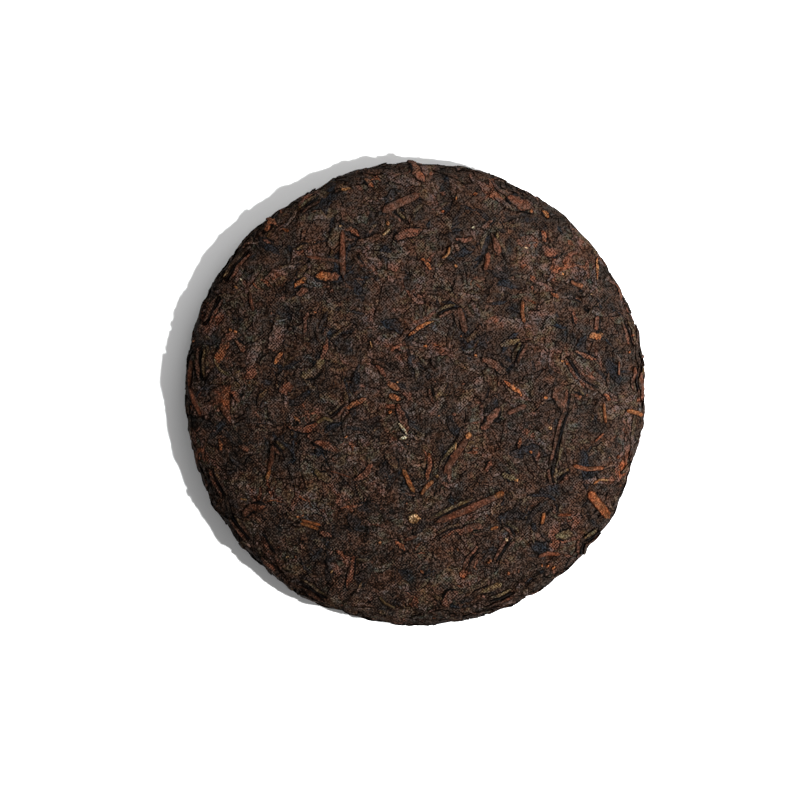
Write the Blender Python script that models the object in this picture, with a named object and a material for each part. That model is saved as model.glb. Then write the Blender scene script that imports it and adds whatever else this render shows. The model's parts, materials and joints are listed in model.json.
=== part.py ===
"""A round cake of ripened tea: whole leaves and stalks steamed in a cloth bag and pressed into one disc.

The cake lies as it is stored. Its domed face looks up, its rim is rounded, and its underside is a flat ring
round the hollow that the knot of the cloth bag leaves. Units are metres, +Z is up, and the origin is the
middle of the underside, on the surface that the cake rests on.
"""

import math
import random

import bmesh
import bpy
from mathutils import Vector, noise
from mathutils.geometry import delaunay_2d_cdt

MM = 0.001

# Driving dimensions of the cake
CAKE_RADIUS = 97.5 * MM
CAKE_HEIGHT = 25.0 * MM
WIDEST_HEIGHT = 9.5 * MM
FOOT_RADIUS = 74.0 * MM
HOLLOW_RADIUS = 29.0 * MM
HOLLOW_DEPTH = 11.0 * MM
DOME_POWER = 3.0
UNDERSIDE_POWER = 2.3

# The outline is a little uneven: lobes round the rim, their height, and where each one first peaks
OUTLINE_WAVES = (
    (1, 0.35 * MM, -52),
    (2, 0.25 * MM, 84),
    (3, 0.25 * MM, -60),
    (5, 0.35 * MM, -55),
    (8, 0.25 * MM, 57),
    (13, 0.20 * MM, 20),
)

# Soft lumps of the pressed mass, and the hollows in the base between the leaves
LUMP_HEIGHT = 0.7 * MM
LUMP_SIZE = 17.0 * MM
BASE_RELIEF = 1.6 * MM
BASE_RELIEF_SIZE = 15.0 * MM
REST_PATCH = (58.0 * MM, 0.0)
REST_PATCH_RADIUS = 9.0 * MM

# Spacing of the points of the core, which lie closer together in the rings beside the rim
FACE_SPACING = 7.6 * MM
BASE_SPACING = 8.6 * MM
RIM_POINTS = 100
RIM_RINGS = (2.4 * MM, 6.0 * MM)

# Stalks that show on the face: both ends as seen from above, and the width
STALKS = (
    ((9.3 * MM, -54.5 * MM), (37.7 * MM, -41.3 * MM), 3.4 * MM),
    ((11.0 * MM, -34.1 * MM), (23.7 * MM, -17.2 * MM), 3.2 * MM),
    ((73.3 * MM, -41.8 * MM), (81.8 * MM, -53.6 * MM), 3.8 * MM),
    ((-31.4 * MM, 69.3 * MM), (-30.5 * MM, 51.5 * MM), 2.6 * MM),
    ((18.7 * MM, 36.2 * MM), (21.6 * MM, 25.6 * MM), 3.0 * MM),
    ((66.6 * MM, -31.2 * MM), (78.4 * MM, -31.2 * MM), 1.8 * MM),
    ((-47.9 * MM, -54.0 * MM), (-39.8 * MM, -56.6 * MM), 2.2 * MM),
    ((-1.3 * MM, -43.0 * MM), (-4.2 * MM, -35.8 * MM), 2.0 * MM),
    ((2.1 * MM, -43.0 * MM), (7.6 * MM, -36.7 * MM), 1.8 * MM),
)

# Single leaves that stand out on the face: both tips as seen from above, and the width
FACE_LEAVES = (
    ((-88.2 * MM, 2.3 * MM), (-78.8 * MM, -13.0 * MM), 5.4 * MM),
    ((-36.9 * MM, 23.1 * MM), (-48.7 * MM, 5.7 * MM), 4.6 * MM),
    ((-75.5 * MM, 27.0 * MM), (-80.5 * MM, 13.5 * MM), 6.0 * MM),
    ((-43.0 * MM, 47.5 * MM), (-31.5 * MM, 51.0 * MM), 5.6 * MM),
    ((-25.9 * MM, -36.2 * MM), (-17.8 * MM, -29.9 * MM), 3.0 * MM),
    ((72.0 * MM, 23.5 * MM), (80.5 * MM, 25.5 * MM), 4.4 * MM),
)

# Cracks between the leaves of the face: the points that each one runs through, as seen from above
CRACKS = (
    ((67.0 * MM, -3.0 * MM), (63.6 * MM, -11.2 * MM), (61.9 * MM, -16.3 * MM), (57.8 * MM, -30.0 * MM)),
    ((27.0 * MM, -51.0 * MM), (34.8 * MM, -54.9 * MM), (30.1 * MM, -60.4 * MM), (24.5 * MM, -67.0 * MM)),
    ((64.0 * MM, 15.0 * MM), (71.1 * MM, 5.4 * MM), (79.0 * MM, 2.2 * MM)),
)
CRACK_WIDTH = 0.9 * MM
CRACK_DEPTH = 1.6 * MM

# The place where a pinch of leaf has broken out of the face
CHIP = ((66.5 * MM, 48.5 * MM), (68.8 * MM, 43.5 * MM), (70.8 * MM, 36.5 * MM))
CHIP_WIDTH = 7.5 * MM
CHIP_DEPTH = 2.0 * MM

# Creases that the gathered cloth leaves round the hollow of the underside
PLEAT_COUNT = 11
PLEAT_INNER = 17.0 * MM
PLEAT_OUTER = (36.0 * MM, 50.0 * MM)
PLEAT_WIDTH = 1.8 * MM
PLEAT_DEPTH = 1.2 * MM

# The leaves that a rule lays: how many, their size, and how far one stands above the core
FACE_LEAF_COUNT = 76
RIM_LEAF_COUNT = 39
HOLLOW_LEAF_COUNT = 8
LEAF_LENGTH = (13.0 * MM, 24.0 * MM)
LEAF_WIDTH = (4.5 * MM, 8.0 * MM)
RIM_LEAF_LENGTH = (11.0 * MM, 22.0 * MM)
RIM_LEAF_WIDTH = (3.0 * MM, 5.5 * MM)
LEAF_STANDS = (0.55 * MM, 1.1 * MM)
LEAF_SINKS = 1.1 * MM
LEAF_BURIED = -0.5
LEAF_CLEARANCE = 0.3 * MM
STALK_STANDS = 1.1 * MM
TORN_SHARE = 0.25
LEAF_SEED = 357


# Profile of the cake, from the middle of each side out to the rim
def smooth(low, high, value):
    """0 below low, 1 above high, and an S curve between them."""
    share = min(1.0, max(0.0, (value - low) / (high - low)))
    return share * share * (3.0 - 2.0 * share)


def quarter_round(radius, height, power, share):
    """A point of a squarish quarter ellipse, from its top at share 0 to its side at share 1."""
    angle = share * math.pi / 2.0
    return (
        radius * math.sin(angle) ** (2.0 / power),
        height * max(0.0, math.cos(angle)) ** (2.0 / power),
    )


def face_profile(steps=240):
    """(radius, height) from the middle of the face out to the rim and on under it to the foot."""
    dome = CAKE_HEIGHT - WIDEST_HEIGHT
    points = []
    for step in range(steps + 1):
        radius, height = quarter_round(CAKE_RADIUS, dome, DOME_POWER, step / steps)
        points.append((radius, WIDEST_HEIGHT + height))
    for step in range(1, steps + 1):
        across, height = quarter_round(
            CAKE_RADIUS - FOOT_RADIUS, WIDEST_HEIGHT, UNDERSIDE_POWER, 1.0 - step / steps
        )
        points.append((FOOT_RADIUS + across, WIDEST_HEIGHT - height))
    return points


def underside_profile(steps=240):
    """(radius, height) from the middle of the hollow out over the flat ring and up to the rim."""
    points = []
    for step in range(steps + 1):
        radius = HOLLOW_RADIUS * step / steps
        points.append((radius, HOLLOW_DEPTH * (1.0 - smooth(0.0, 1.0, step / steps) ** 0.9)))
    for step in range(1, steps + 1):
        points.append((HOLLOW_RADIUS + (FOOT_RADIUS - HOLLOW_RADIUS) * step / steps, 0.0))
    for step in range(1, steps + 1):
        across, height = quarter_round(
            CAKE_RADIUS - FOOT_RADIUS, WIDEST_HEIGHT, UNDERSIDE_POWER, step / steps
        )
        points.append((FOOT_RADIUS + across, WIDEST_HEIGHT - height))
    return points


class Side:
    """One side of the cake as a flat map: a place on it is a distance along the profile and an angle."""

    def __init__(self, profile, outward):
        self.profile = profile
        self.outward = outward
        self.lengths = [0.0]
        for (r0, z0), (r1, z1) in zip(profile, profile[1:]):
            self.lengths.append(self.lengths[-1] + math.hypot(r1 - r0, z1 - z0))

    def along(self, distance):
        """(radius, height, outward direction) at a distance along the profile."""
        distance = min(max(distance, 0.0), self.lengths[-1] * 0.9999)
        low, high = 0, len(self.lengths) - 1
        while high - low > 1:
            middle = (low + high) // 2
            if self.lengths[middle] > distance:
                high = middle
            else:
                low = middle
        (r0, z0), (r1, z1) = self.profile[low], self.profile[high]
        share = (distance - self.lengths[low]) / (self.lengths[high] - self.lengths[low])
        size = math.hypot(r1 - r0, z1 - z0)
        normal = ((z0 - z1) / size * self.outward, (r1 - r0) / size * self.outward)
        return r0 + (r1 - r0) * share, z0 + (z1 - z0) * share, normal

    def distance_at(self, radius):
        """The distance along the profile at which it first reaches this radius."""
        for length, (r, _) in zip(self.lengths, self.profile):
            if r >= radius:
                return length
        return self.lengths[-1]

    def place(self, u, v, lift=0.0):
        """The point of the surface under map point (u, v), raised by lift."""
        angle = math.atan2(v, u)
        radius, height, (out, up) = self.along(math.hypot(u, v))
        waves = sum(size * math.cos(n * (angle - math.radians(at))) for n, size, at in OUTLINE_WAVES)
        radius += waves * (radius / CAKE_RADIUS) ** 3
        point = Vector((radius * math.cos(angle), radius * math.sin(angle), height))
        normal = Vector((out * math.cos(angle), out * math.sin(angle), up))
        point += normal * (lift + relief(point, normal))
        if lift > 0.0:
            point.z = max(point.z, LEAF_CLEARANCE) if self.outward > 0.0 else point.z
        return point


def relief(point, normal):
    """How far the pressed mass stands above its mean surface at a point."""
    lump = LUMP_HEIGHT * noise.noise(point / LUMP_SIZE)
    if normal.z > 0.0:
        return lump
    rise = smooth(0.4 * MM, 3.0 * MM, point.z)
    return lump * rise + base_hollows(point) * (1.0 - rise)


def base_hollows(point):
    """Gaps between the leaves of the flat ring, which the pressing board leaves above its own plane."""
    away = math.hypot(point.x - REST_PATCH[0], point.y - REST_PATCH[1])
    gap = max(0.0, noise.noise(point / BASE_RELIEF_SIZE + Vector((3.1, 7.7, 1.3))))
    return -BASE_RELIEF * gap * smooth(REST_PATCH_RADIUS, 1.6 * REST_PATCH_RADIUS, away)


# The core
def ring_points(outer, spacing, rng):
    """Map points in rings out to the rim, shaken a little so that no ring shows."""
    inner = outer - RIM_RINGS[-1] - 0.6 * spacing
    rings = round(inner / spacing)
    plan = [(inner * ring / rings, None) for ring in range(rings + 1)]
    plan += [(outer - back, RIM_POINTS) for back in reversed(RIM_RINGS)]
    points = []
    for distance, count in plan + [(outer, RIM_POINTS)]:
        close = count is not None
        count = count or max(1, round(2.0 * math.pi * distance / spacing))
        shake = 0.0 if close or count == 1 else 0.22 * spacing
        turn = 0.0 if distance == outer else (0.5 if close else rng.random())
        for place in range(count):
            angle = 2.0 * math.pi * (place + turn) / count
            off = Vector((rng.uniform(-shake, shake), rng.uniform(-shake, shake)))
            points.append(Vector((math.cos(angle), math.sin(angle))) * distance + off)
    return points


def core_mesh(face, base, rng):
    """The pressed mass without the leaves that stand out: both sides, joined along the rim."""
    work = bmesh.new()
    rim = {}
    sides = (
        (face, face.distance_at(CAKE_RADIUS), FACE_SPACING, False),
        (base, base.lengths[-1], BASE_SPACING, True),
    )
    for side, outer, spacing, flip in sides:
        points = ring_points(outer, spacing, rng)
        flat, _, triangles, _, _, _ = delaunay_2d_cdt(points, [], [], 0, 1e-7)
        made = []
        for number, at in enumerate(flat):
            on_rim = number >= len(flat) - RIM_POINTS
            key = round(math.atan2(at.y, at.x) / (2.0 * math.pi) * RIM_POINTS) % RIM_POINTS
            if on_rim and key in rim:
                made.append(rim[key])
                continue
            made.append(work.verts.new(side.place(at.x, at.y)))
            if on_rim:
                rim[key] = made[-1]
        for triangle in triangles:
            corners = [made[number] for number in triangle]
            work.faces.new(corners[::-1] if flip else corners)
    return work


# Leaves and stalks, as thin solids that lie on the core and sink into it
def thin_solid(side, start, end, stations, top_rows, stands, sinks):
    """A bmesh of rows of points from start to end: top_rows gives each row's (across, height) points."""
    work = bmesh.new()
    along = (end - start).normalized()
    across = Vector((-along.y, along.x))
    rows = []
    for share, row in zip(stations, top_rows):
        middle = start + (end - start) * share
        upper, lower = [], []
        for offset, height in row:
            at = middle + across * offset
            upper.append(work.verts.new(side.place(at.x, at.y, stands * height)))
            lower.append(work.verts.new(side.place(at.x, at.y, -sinks)))
        rows.append((upper, lower))
    for (upper_a, lower_a), (upper_b, lower_b) in zip(rows, rows[1:]):
        for column in range(len(upper_a) - 1):
            add_quad(work, upper_a, upper_b, column, False)
            add_quad(work, lower_a, lower_b, column, True)
        add_wall(work, (upper_a[0], upper_b[0], lower_b[0], lower_a[0]))
        add_wall(work, (upper_b[-1], upper_a[-1], lower_a[-1], lower_b[-1]))
    for (upper, lower), turned in ((rows[0], False), (rows[-1], True)):
        for column in range(len(upper) - 1):
            corners = (upper[column + 1], upper[column], lower[column], lower[column + 1])
            add_wall(work, corners[::-1] if turned else corners)
    bmesh.ops.remove_doubles(work, verts=work.verts, dist=0.001 * MM)
    bmesh.ops.recalc_face_normals(work, faces=work.faces)
    return work


def add_quad(work, row_a, row_b, column, turned):
    """Two triangles between two rows, split the same way on the upper and the lower side."""
    a, b, c, d = row_a[column], row_b[column], row_b[column + 1], row_a[column + 1]
    for corners in ((a, b, c), (a, c, d)):
        work.faces.new(corners[::-1] if turned else corners)


def add_wall(work, corners):
    """The edge of a leaf, as two triangles."""
    a, b, c, d = corners
    work.faces.new((a, b, c))
    work.faces.new((a, c, d))


def leaf(side, start, end, width, stands, rng):
    """A pressed leaf: one edge stands proud and the other dives under its neighbours."""
    stations = (0.0, 0.28, 0.68, 1.0)
    torn = 0.4 if rng.random() < TORN_SHARE else 0.0
    fullness = (torn, rng.uniform(0.8, 1.0), rng.uniform(0.6, 0.95), 0.0)
    buried = LEAF_BURIED if rng.random() < 0.5 else 0.55
    turned = rng.choice((-1.0, 1.0))
    bend = rng.uniform(-0.35, 0.35) * width
    rows = []
    for share, full in zip(stations, fullness):
        shift = bend * math.sin(math.pi * share)
        half = 0.5 * width * full * turned
        proud = rng.uniform(0.85, 1.1) * (0.4 + 0.6 * full)
        row = (
            (shift - half * rng.uniform(0.85, 1.1), buried if full else proud),
            (shift + half * rng.uniform(0.85, 1.1), proud),
        )
        rows.append(row)
    return thin_solid(side, start, end, stations, rows, stands, LEAF_SINKS)


def stalk(side, start, end, width):
    """A flattened stalk: straight sides and a rounded back."""
    stations = (0.0, 0.5, 1.0)
    half = width / 2.0
    rows = [((-half, 0.45), (-0.45 * half, 1.0), (0.45 * half, 1.0), (half, 0.45)) for _ in stations]
    return thin_solid(side, start, end, stations, rows, STALK_STANDS, LEAF_SINKS)


def groove_cutter(side, points, width, depth):
    """A wedge along map points, wide above the surface and sharp at the bottom of the groove."""
    work = bmesh.new()
    above = 1.5 * MM
    rows = []
    for number, here in enumerate(points):
        before = points[max(0, number - 1)]
        after = points[min(len(points) - 1, number + 1)]
        along = (after - before).normalized()
        across = Vector((-along.y, along.x))
        at_end = number in (0, len(points) - 1)
        half = width * (0.35 if at_end else 0.5)
        half_above = half * (1.0 + above / depth)
        left, right = here - across * half_above, here + across * half_above
        rows.append(
            (
                work.verts.new(side.place(left.x, left.y, above)),
                work.verts.new(side.place(here.x, here.y, -depth * (0.5 if at_end else 1.0))),
                work.verts.new(side.place(right.x, right.y, above)),
            )
        )
    for row_a, row_b in zip(rows, rows[1:]):
        for place in range(3):
            add_wall(work, (row_a[place], row_b[place], row_b[(place + 1) % 3], row_a[(place + 1) % 3]))
    work.faces.new(rows[0])
    work.faces.new(rows[-1])
    bmesh.ops.recalc_face_normals(work, faces=work.faces)
    return work


def plan_to_map(side, x, y):
    """The map point that lies under a point seen from above."""
    radius = math.hypot(x, y)
    return Vector((x, y)) * (side.distance_at(radius) / max(radius, MM))


def spread_places(count, inner, outer, apart, rng, tries=60):
    """Map points between two distances from the middle, as far from each other as a few tries find."""
    found = []
    for _ in range(count):
        best, best_gap = None, -1.0
        for _ in range(tries):
            distance = math.sqrt(rng.uniform(inner**2, outer**2))
            angle = rng.uniform(0.0, 2.0 * math.pi)
            at = Vector((math.cos(angle), math.sin(angle))) * distance
            gap = min(((at - other).length for other in found + apart), default=outer)
            if gap > best_gap:
                best, best_gap = at, gap
        found.append(best)
    return found


def laid_leaf(side, at, heading, length, width, rng):
    """A leaf with its middle at a map point."""
    half = Vector((math.cos(heading), math.sin(heading))) * (length / 2.0)
    return leaf(side, at - half, at + half, width, rng.uniform(*LEAF_STANDS), rng)


def face_leaves(face, rng):
    """The leaves and stalks of the face: those that stand out, then those that fill the rest."""
    made, taken = [], []
    for start, end, width in STALKS:
        ends = plan_to_map(face, *start), plan_to_map(face, *end)
        made.append(stalk(face, *ends, width))
        taken.append((ends[0] + ends[1]) / 2.0)
    for start, end, width in FACE_LEAVES:
        ends = plan_to_map(face, *start), plan_to_map(face, *end)
        made.append(leaf(face, *ends, width, LEAF_STANDS[1], rng))
        taken.append((ends[0] + ends[1]) / 2.0)
    for crack in CRACKS:
        taken.extend(plan_to_map(face, *point) for point in crack)
    taken.extend(plan_to_map(face, *point) for point in CHIP)
    for at in spread_places(FACE_LEAF_COUNT, 0.0, 0.94 * CAKE_RADIUS, taken, rng):
        heading = rng.uniform(0.0, math.pi)
        made.append(laid_leaf(face, at, heading, rng.uniform(*LEAF_LENGTH), rng.uniform(*LEAF_WIDTH), rng))
    return made


def rim_leaves(face, rng):
    """Leaves folded round the rim, most of them lying along it."""
    made = []
    widest = face.distance_at(CAKE_RADIUS)
    for number in range(RIM_LEAF_COUNT):
        angle = 2.0 * math.pi * (number + rng.uniform(-0.3, 0.3)) / RIM_LEAF_COUNT
        distance = widest + (-5.0, 2.0, 9.0)[number % 3] * MM + rng.uniform(-1.5, 1.5) * MM
        at = Vector((math.cos(angle), math.sin(angle))) * distance
        heading = angle + math.pi / 2.0 + rng.uniform(-0.5, 0.5)
        length, width = rng.uniform(*RIM_LEAF_LENGTH), rng.uniform(*RIM_LEAF_WIDTH)
        made.append(laid_leaf(face, at, heading, length, width, rng))
    return made


def hollow_leaves(base, rng):
    """Leaves on the wall of the hollow, pointing down into it as the gathered cloth drew them."""
    made = []
    for number in range(HOLLOW_LEAF_COUNT):
        angle = 2.0 * math.pi * (number + rng.uniform(-0.2, 0.2)) / HOLLOW_LEAF_COUNT
        at = Vector((math.cos(angle), math.sin(angle))) * (0.5 * HOLLOW_RADIUS)
        length, width = rng.uniform(9.0, 13.0) * MM, rng.uniform(3.5, 5.0) * MM
        made.append(laid_leaf(base, at, angle + rng.uniform(-0.3, 0.3), length, width, rng))
    return made


def face_cracks(face):
    """Cutters for the cracks and the chip of the face."""
    lines = [[plan_to_map(face, *point) for point in crack] for crack in CRACKS]
    made = [groove_cutter(face, line, CRACK_WIDTH, CRACK_DEPTH) for line in lines]
    chip = [plan_to_map(face, *point) for point in CHIP]
    return made + [groove_cutter(face, chip, CHIP_WIDTH, CHIP_DEPTH)]


def base_pleats(base, rng):
    """Cutters for the creases that run out of the hollow."""
    made = []
    for number in range(PLEAT_COUNT):
        angle = 2.0 * math.pi * (number + rng.uniform(-0.3, 0.3)) / PLEAT_COUNT
        outer = rng.uniform(*PLEAT_OUTER)
        line = []
        for share in (0.0, 0.4, 1.0):
            turn = angle + rng.uniform(-0.06, 0.06)
            reach = PLEAT_INNER + (outer - PLEAT_INNER) * share
            line.append(Vector((math.cos(turn), math.sin(turn))) * reach)
        made.append(groove_cutter(base, line, PLEAT_WIDTH, PLEAT_DEPTH))
    return made


# Putting it together
def tea_material():
    """Dark brown leaf with a dull, slightly waxy surface."""
    material = bpy.data.materials.new("pressed_tea")
    material.use_nodes = True
    shader = material.node_tree.nodes["Principled BSDF"]
    shader.inputs["Base Color"].default_value = (0.040, 0.026, 0.018, 1.0)
    shader.inputs["Roughness"].default_value = 0.68
    shader.inputs["Metallic"].default_value = 0.0
    return material


def to_object(work, name, collection):
    """A bmesh made into an object of a collection."""
    mesh = bpy.data.meshes.new(name)
    work.to_mesh(mesh)
    work.free()
    made = bpy.data.objects.new(name, mesh)
    collection.objects.link(made)
    return made


def combine(cake, pieces, name, operation):
    """Joins the pieces to the cake, or cuts them from it, and removes them."""
    group = bpy.data.collections.new(name)
    bpy.context.scene.collection.children.link(group)
    for number, work in enumerate(pieces):
        to_object(work, f"{name}_{number:03d}", group)
    modifier = cake.modifiers.new(name, "BOOLEAN")
    modifier.operation = operation
    modifier.operand_type = "COLLECTION"
    modifier.collection = group
    modifier.solver = "MANIFOLD"
    bpy.context.view_layer.update()
    graph = bpy.context.evaluated_depsgraph_get()
    joined = bpy.data.meshes.new_from_object(cake.evaluated_get(graph))
    cake.modifiers.clear()
    cake.data = joined
    for piece in list(group.objects):
        bpy.data.objects.remove(piece)
    bpy.data.collections.remove(group)


def main():
    for old in list(bpy.data.objects):
        bpy.data.objects.remove(old)
    rng = random.Random(LEAF_SEED)
    face = Side(face_profile(), 1.0)
    base = Side(underside_profile(), -1.0)
    cake = to_object(core_mesh(face, base, rng), "tea_cake", bpy.context.scene.collection)
    leaves = face_leaves(face, rng) + rim_leaves(face, rng) + hollow_leaves(base, rng)
    combine(cake, leaves, "leaf", "UNION")
    combine(cake, face_cracks(face) + base_pleats(base, rng), "groove", "DIFFERENCE")
    cake.data.materials.clear()
    cake.data.materials.append(tea_material())
    cake.data.shade_smooth()
    cake.data.set_sharp_from_angle(angle=math.radians(32.0))


main()
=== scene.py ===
# %% [markdown]
# # A pressed cake of ripened tea
# The real thing is a disc of whole tea leaves. They are steamed soft in a cloth bag, pressed under a
# stone and dried, so they hold each other: thousands of dark leaves lie flat over one another, with a
# few pale stalks and golden buds between them, and the weave of the cloth is printed into the face.
# This lesson builds it in the same order. A core gives the form, leaves are laid over it by Geometry
# Nodes and pressed against it, the ones that catch the eye are laid one by one, and the colours come
# from shader nodes.

# %% Load the frame
import json
import math
import random

import bmesh
import bpy
import numpy as np
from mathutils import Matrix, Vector, noise
from mathutils.geometry import delaunay_2d_cdt

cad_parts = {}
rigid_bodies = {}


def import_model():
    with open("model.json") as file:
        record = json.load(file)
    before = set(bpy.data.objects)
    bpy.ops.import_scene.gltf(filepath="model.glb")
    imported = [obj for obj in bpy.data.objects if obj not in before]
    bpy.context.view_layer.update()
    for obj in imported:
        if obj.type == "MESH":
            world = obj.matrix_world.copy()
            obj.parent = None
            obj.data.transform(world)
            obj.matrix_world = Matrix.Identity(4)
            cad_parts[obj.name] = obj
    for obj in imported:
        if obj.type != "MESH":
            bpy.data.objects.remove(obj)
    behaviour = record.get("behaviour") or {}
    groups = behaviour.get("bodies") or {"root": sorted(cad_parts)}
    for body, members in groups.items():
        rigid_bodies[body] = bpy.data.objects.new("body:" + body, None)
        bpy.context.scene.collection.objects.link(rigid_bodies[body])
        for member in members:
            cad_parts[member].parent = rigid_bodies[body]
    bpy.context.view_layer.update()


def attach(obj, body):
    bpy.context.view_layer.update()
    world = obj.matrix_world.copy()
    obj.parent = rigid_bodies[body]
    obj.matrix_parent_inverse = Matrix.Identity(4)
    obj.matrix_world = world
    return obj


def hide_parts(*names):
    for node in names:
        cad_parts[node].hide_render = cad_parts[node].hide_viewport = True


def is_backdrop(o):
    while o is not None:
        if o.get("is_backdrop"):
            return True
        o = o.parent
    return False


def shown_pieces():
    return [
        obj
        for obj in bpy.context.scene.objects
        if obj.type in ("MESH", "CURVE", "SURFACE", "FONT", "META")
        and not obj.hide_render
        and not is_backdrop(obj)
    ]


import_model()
NODE, BODY, SLOT = "tea_cake", "root", "pressed_tea"
MM = 0.001

# %% [markdown]
# ## The camera
# The photo looks straight down on the cake, from far enough away that the rim hardly leans outwards.
# The cake sits a little right of the middle and a little above it. Moving the camera keeps the cake
# where the solid is. A long lens at 0.9 m gives the same flat view, and its focal length follows from
# the width that it has to show.

# %% Camera
PHOTO_SIDE = 800
PHOTO_MIDDLE = (415.0, 393.5)
PIXEL = 0.4239 * MM
CAMERA_DISTANCE = 0.9
SENSOR = 36.0
WIDEST_HEIGHT = 9.5 * MM


def plan(px, py):
    """The place on the table, in metres, of a pixel of the photo."""
    return (px - PHOTO_MIDDLE[0]) * PIXEL, (PHOTO_MIDDLE[1] - py) * PIXEL


camera_data = bpy.data.cameras.new("camera")
camera_data.sensor_width = SENSOR
camera_data.lens = SENSOR * CAMERA_DISTANCE / (PHOTO_SIDE * PIXEL)
camera = bpy.data.objects.new("camera", camera_data)
camera.location = (*plan(PHOTO_SIDE / 2, PHOTO_SIDE / 2), WIDEST_HEIGHT + CAMERA_DISTANCE)
bpy.context.scene.collection.objects.link(camera)
bpy.context.scene.camera = camera
print("Lens in mm:", round(camera_data.lens, 1), "camera at", [round(v, 4) for v in camera.location])

# %% [markdown]
# ## Light and table
# One key light stands on the right and a little towards the viewer, so the shadow falls to the left. It
# is small, which keeps the edge of the shadow crisp, and near enough to make the right side of the cake
# a little brighter than the left. A wide soft light at the back right lifts the far side of the face.
# The leaf finish adds painted light too, paler towards the right and the back. A white surround fills
# the shadow to a light grey. The table is plain and pale.
# The Standard view transform is used, because the photo's white is a plain white.

# %% Light and table
FILL = 0.345


def area_light(name, azimuth, elevation, distance, side, watts):
    """A square light that looks at the middle of the table."""
    data = bpy.data.lights.new(name, "AREA")
    data.size = side
    data.energy = watts
    azimuth, elevation = math.radians(azimuth), math.radians(elevation)
    level = math.cos(elevation)
    way = Vector((level * math.cos(azimuth), level * math.sin(azimuth), math.sin(elevation)))
    lamp = bpy.data.objects.new(name, data)
    lamp.location = way * distance
    lamp.rotation_mode = "QUATERNION"
    lamp.rotation_quaternion = way.to_track_quat("Z", "Y")
    bpy.context.scene.collection.objects.link(lamp)
    print(name, "light at", [round(v, 3) for v in lamp.location], "with", watts, "W")


bpy.context.scene.view_settings.view_transform = "Standard"
area_light("key", azimuth=-16.0, elevation=57.0, distance=0.66, side=0.038, watts=10.7)
area_light("soft", azimuth=63.0, elevation=43.0, distance=0.47, side=0.35, watts=0.85)
surround = bpy.data.worlds.new("surround")
surround.use_nodes = True
surround.node_tree.nodes["Background"].inputs["Color"].default_value = (1.0, 1.0, 1.0, 1.0)
surround.node_tree.nodes["Background"].inputs["Strength"].default_value = FILL
bpy.context.scene.world = surround

TABLE_HALF = 3.0
TABLE_CORNERS = ((-1, -1), (1, -1), (1, 1), (-1, 1))
table_mesh = bpy.data.meshes.new("table")
corners = [(x * TABLE_HALF, y * TABLE_HALF, 0.0) for x, y in TABLE_CORNERS]
table_mesh.from_pydata(corners, [], [(0, 1, 2, 3)])
table = bpy.data.objects.new("table", table_mesh)
bpy.context.scene.collection.objects.link(table)
table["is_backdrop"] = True
print("Table", 2.0 * TABLE_HALF, "m wide, surround at", FILL)

# %% [markdown]
# ## A helper for node trees
# Both shader trees and geometry trees are sums and products of many small values. Written node by node
# they are hard to read, so this class wraps one output socket. Python's own + - * / on it add Math
# nodes, the reflected forms make 1 - mask work too, and `add` makes any other node: settings first,
# then values or links of sockets.


# %% Node helper
def pick(sockets, key):
    """A socket that is in use, by its name or by its number."""
    used = [socket for socket in sockets if socket.enabled]
    if isinstance(key, int):
        return used[key]
    return next(socket for socket in used if socket.name == key)


class Wire:
    """One output socket of a node tree, which calculates like a number."""

    def __init__(self, tree, socket=None):
        self.tree = tree
        self.socket = socket

    def add(self, kind, settings=None, values=None, out=0):
        node = self.tree.nodes.new(kind)
        for name, value in (settings or {}).items():
            if name == "stops":
                stops = node.color_ramp.elements
                while len(stops) < len(value):
                    stops.new(1.0)
                for stop, (place, colour) in zip(stops, value):
                    stop.position = place
                    stop.color = (*colour, 1.0)
            else:
                setattr(node, name, value)
        for name, value in (values or {}).items():
            socket = pick(node.inputs, name)
            if isinstance(value, Wire):
                self.tree.links.new(value.socket, socket)
            else:
                socket.default_value = value
        return Wire(self.tree, pick(node.outputs, out))

    def other(self, out):
        """Another output of the same node."""
        return Wire(self.tree, pick(self.socket.node.outputs, out))

    def math(self, operation, *values):
        return self.add("ShaderNodeMath", {"operation": operation}, dict(enumerate(values)))

    def vector(self, operation, *values, out=0):
        return self.add("ShaderNodeVectorMath", {"operation": operation}, dict(enumerate(values)), out)

    def __add__(self, other):
        return self.math("ADD", self, other)

    def __radd__(self, other):
        return self.math("ADD", other, self)

    def __sub__(self, other):
        return self.math("SUBTRACT", self, other)

    def __rsub__(self, other):
        return self.math("SUBTRACT", other, self)

    def __mul__(self, other):
        return self.math("MULTIPLY", self, other)

    def __rmul__(self, other):
        return self.math("MULTIPLY", other, self)

    def __truediv__(self, other):
        return self.math("DIVIDE", self, other)

    def __rtruediv__(self, other):
        return self.math("DIVIDE", other, self)

    def between(self, low, high):
        """0 below low, 1 above high, smooth in between."""
        return self.add(
            "ShaderNodeMapRange",
            {"interpolation_type": "SMOOTHSTEP"},
            {"Value": self, "From Min": low, "From Max": high},
        )


print("A wire does", ", ".join(name for name in vars(Wire) if not name.startswith("_")), "and + - * /")


# %% Table material
TABLE_WHITE = 0.93


def new_finish(name, roughness, specular=0.5):
    """A material, a wire to start its tree from, and its shader node."""
    finish = bpy.data.materials.new(name)
    finish.use_nodes = True
    shader = finish.node_tree.nodes["Principled BSDF"]
    shader.inputs["Roughness"].default_value = roughness
    shader.inputs["Specular IOR Level"].default_value = specular
    return finish, Wire(finish.node_tree), shader


table_finish, start, shader = new_finish("pale_table", 0.9, 0.1)
shader.inputs["Base Color"].default_value = (TABLE_WHITE, TABLE_WHITE, TABLE_WHITE, 1.0)
table_mesh.materials.append(table_finish)
print("Table finish:", table_finish.name, "of", TABLE_WHITE)

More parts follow.
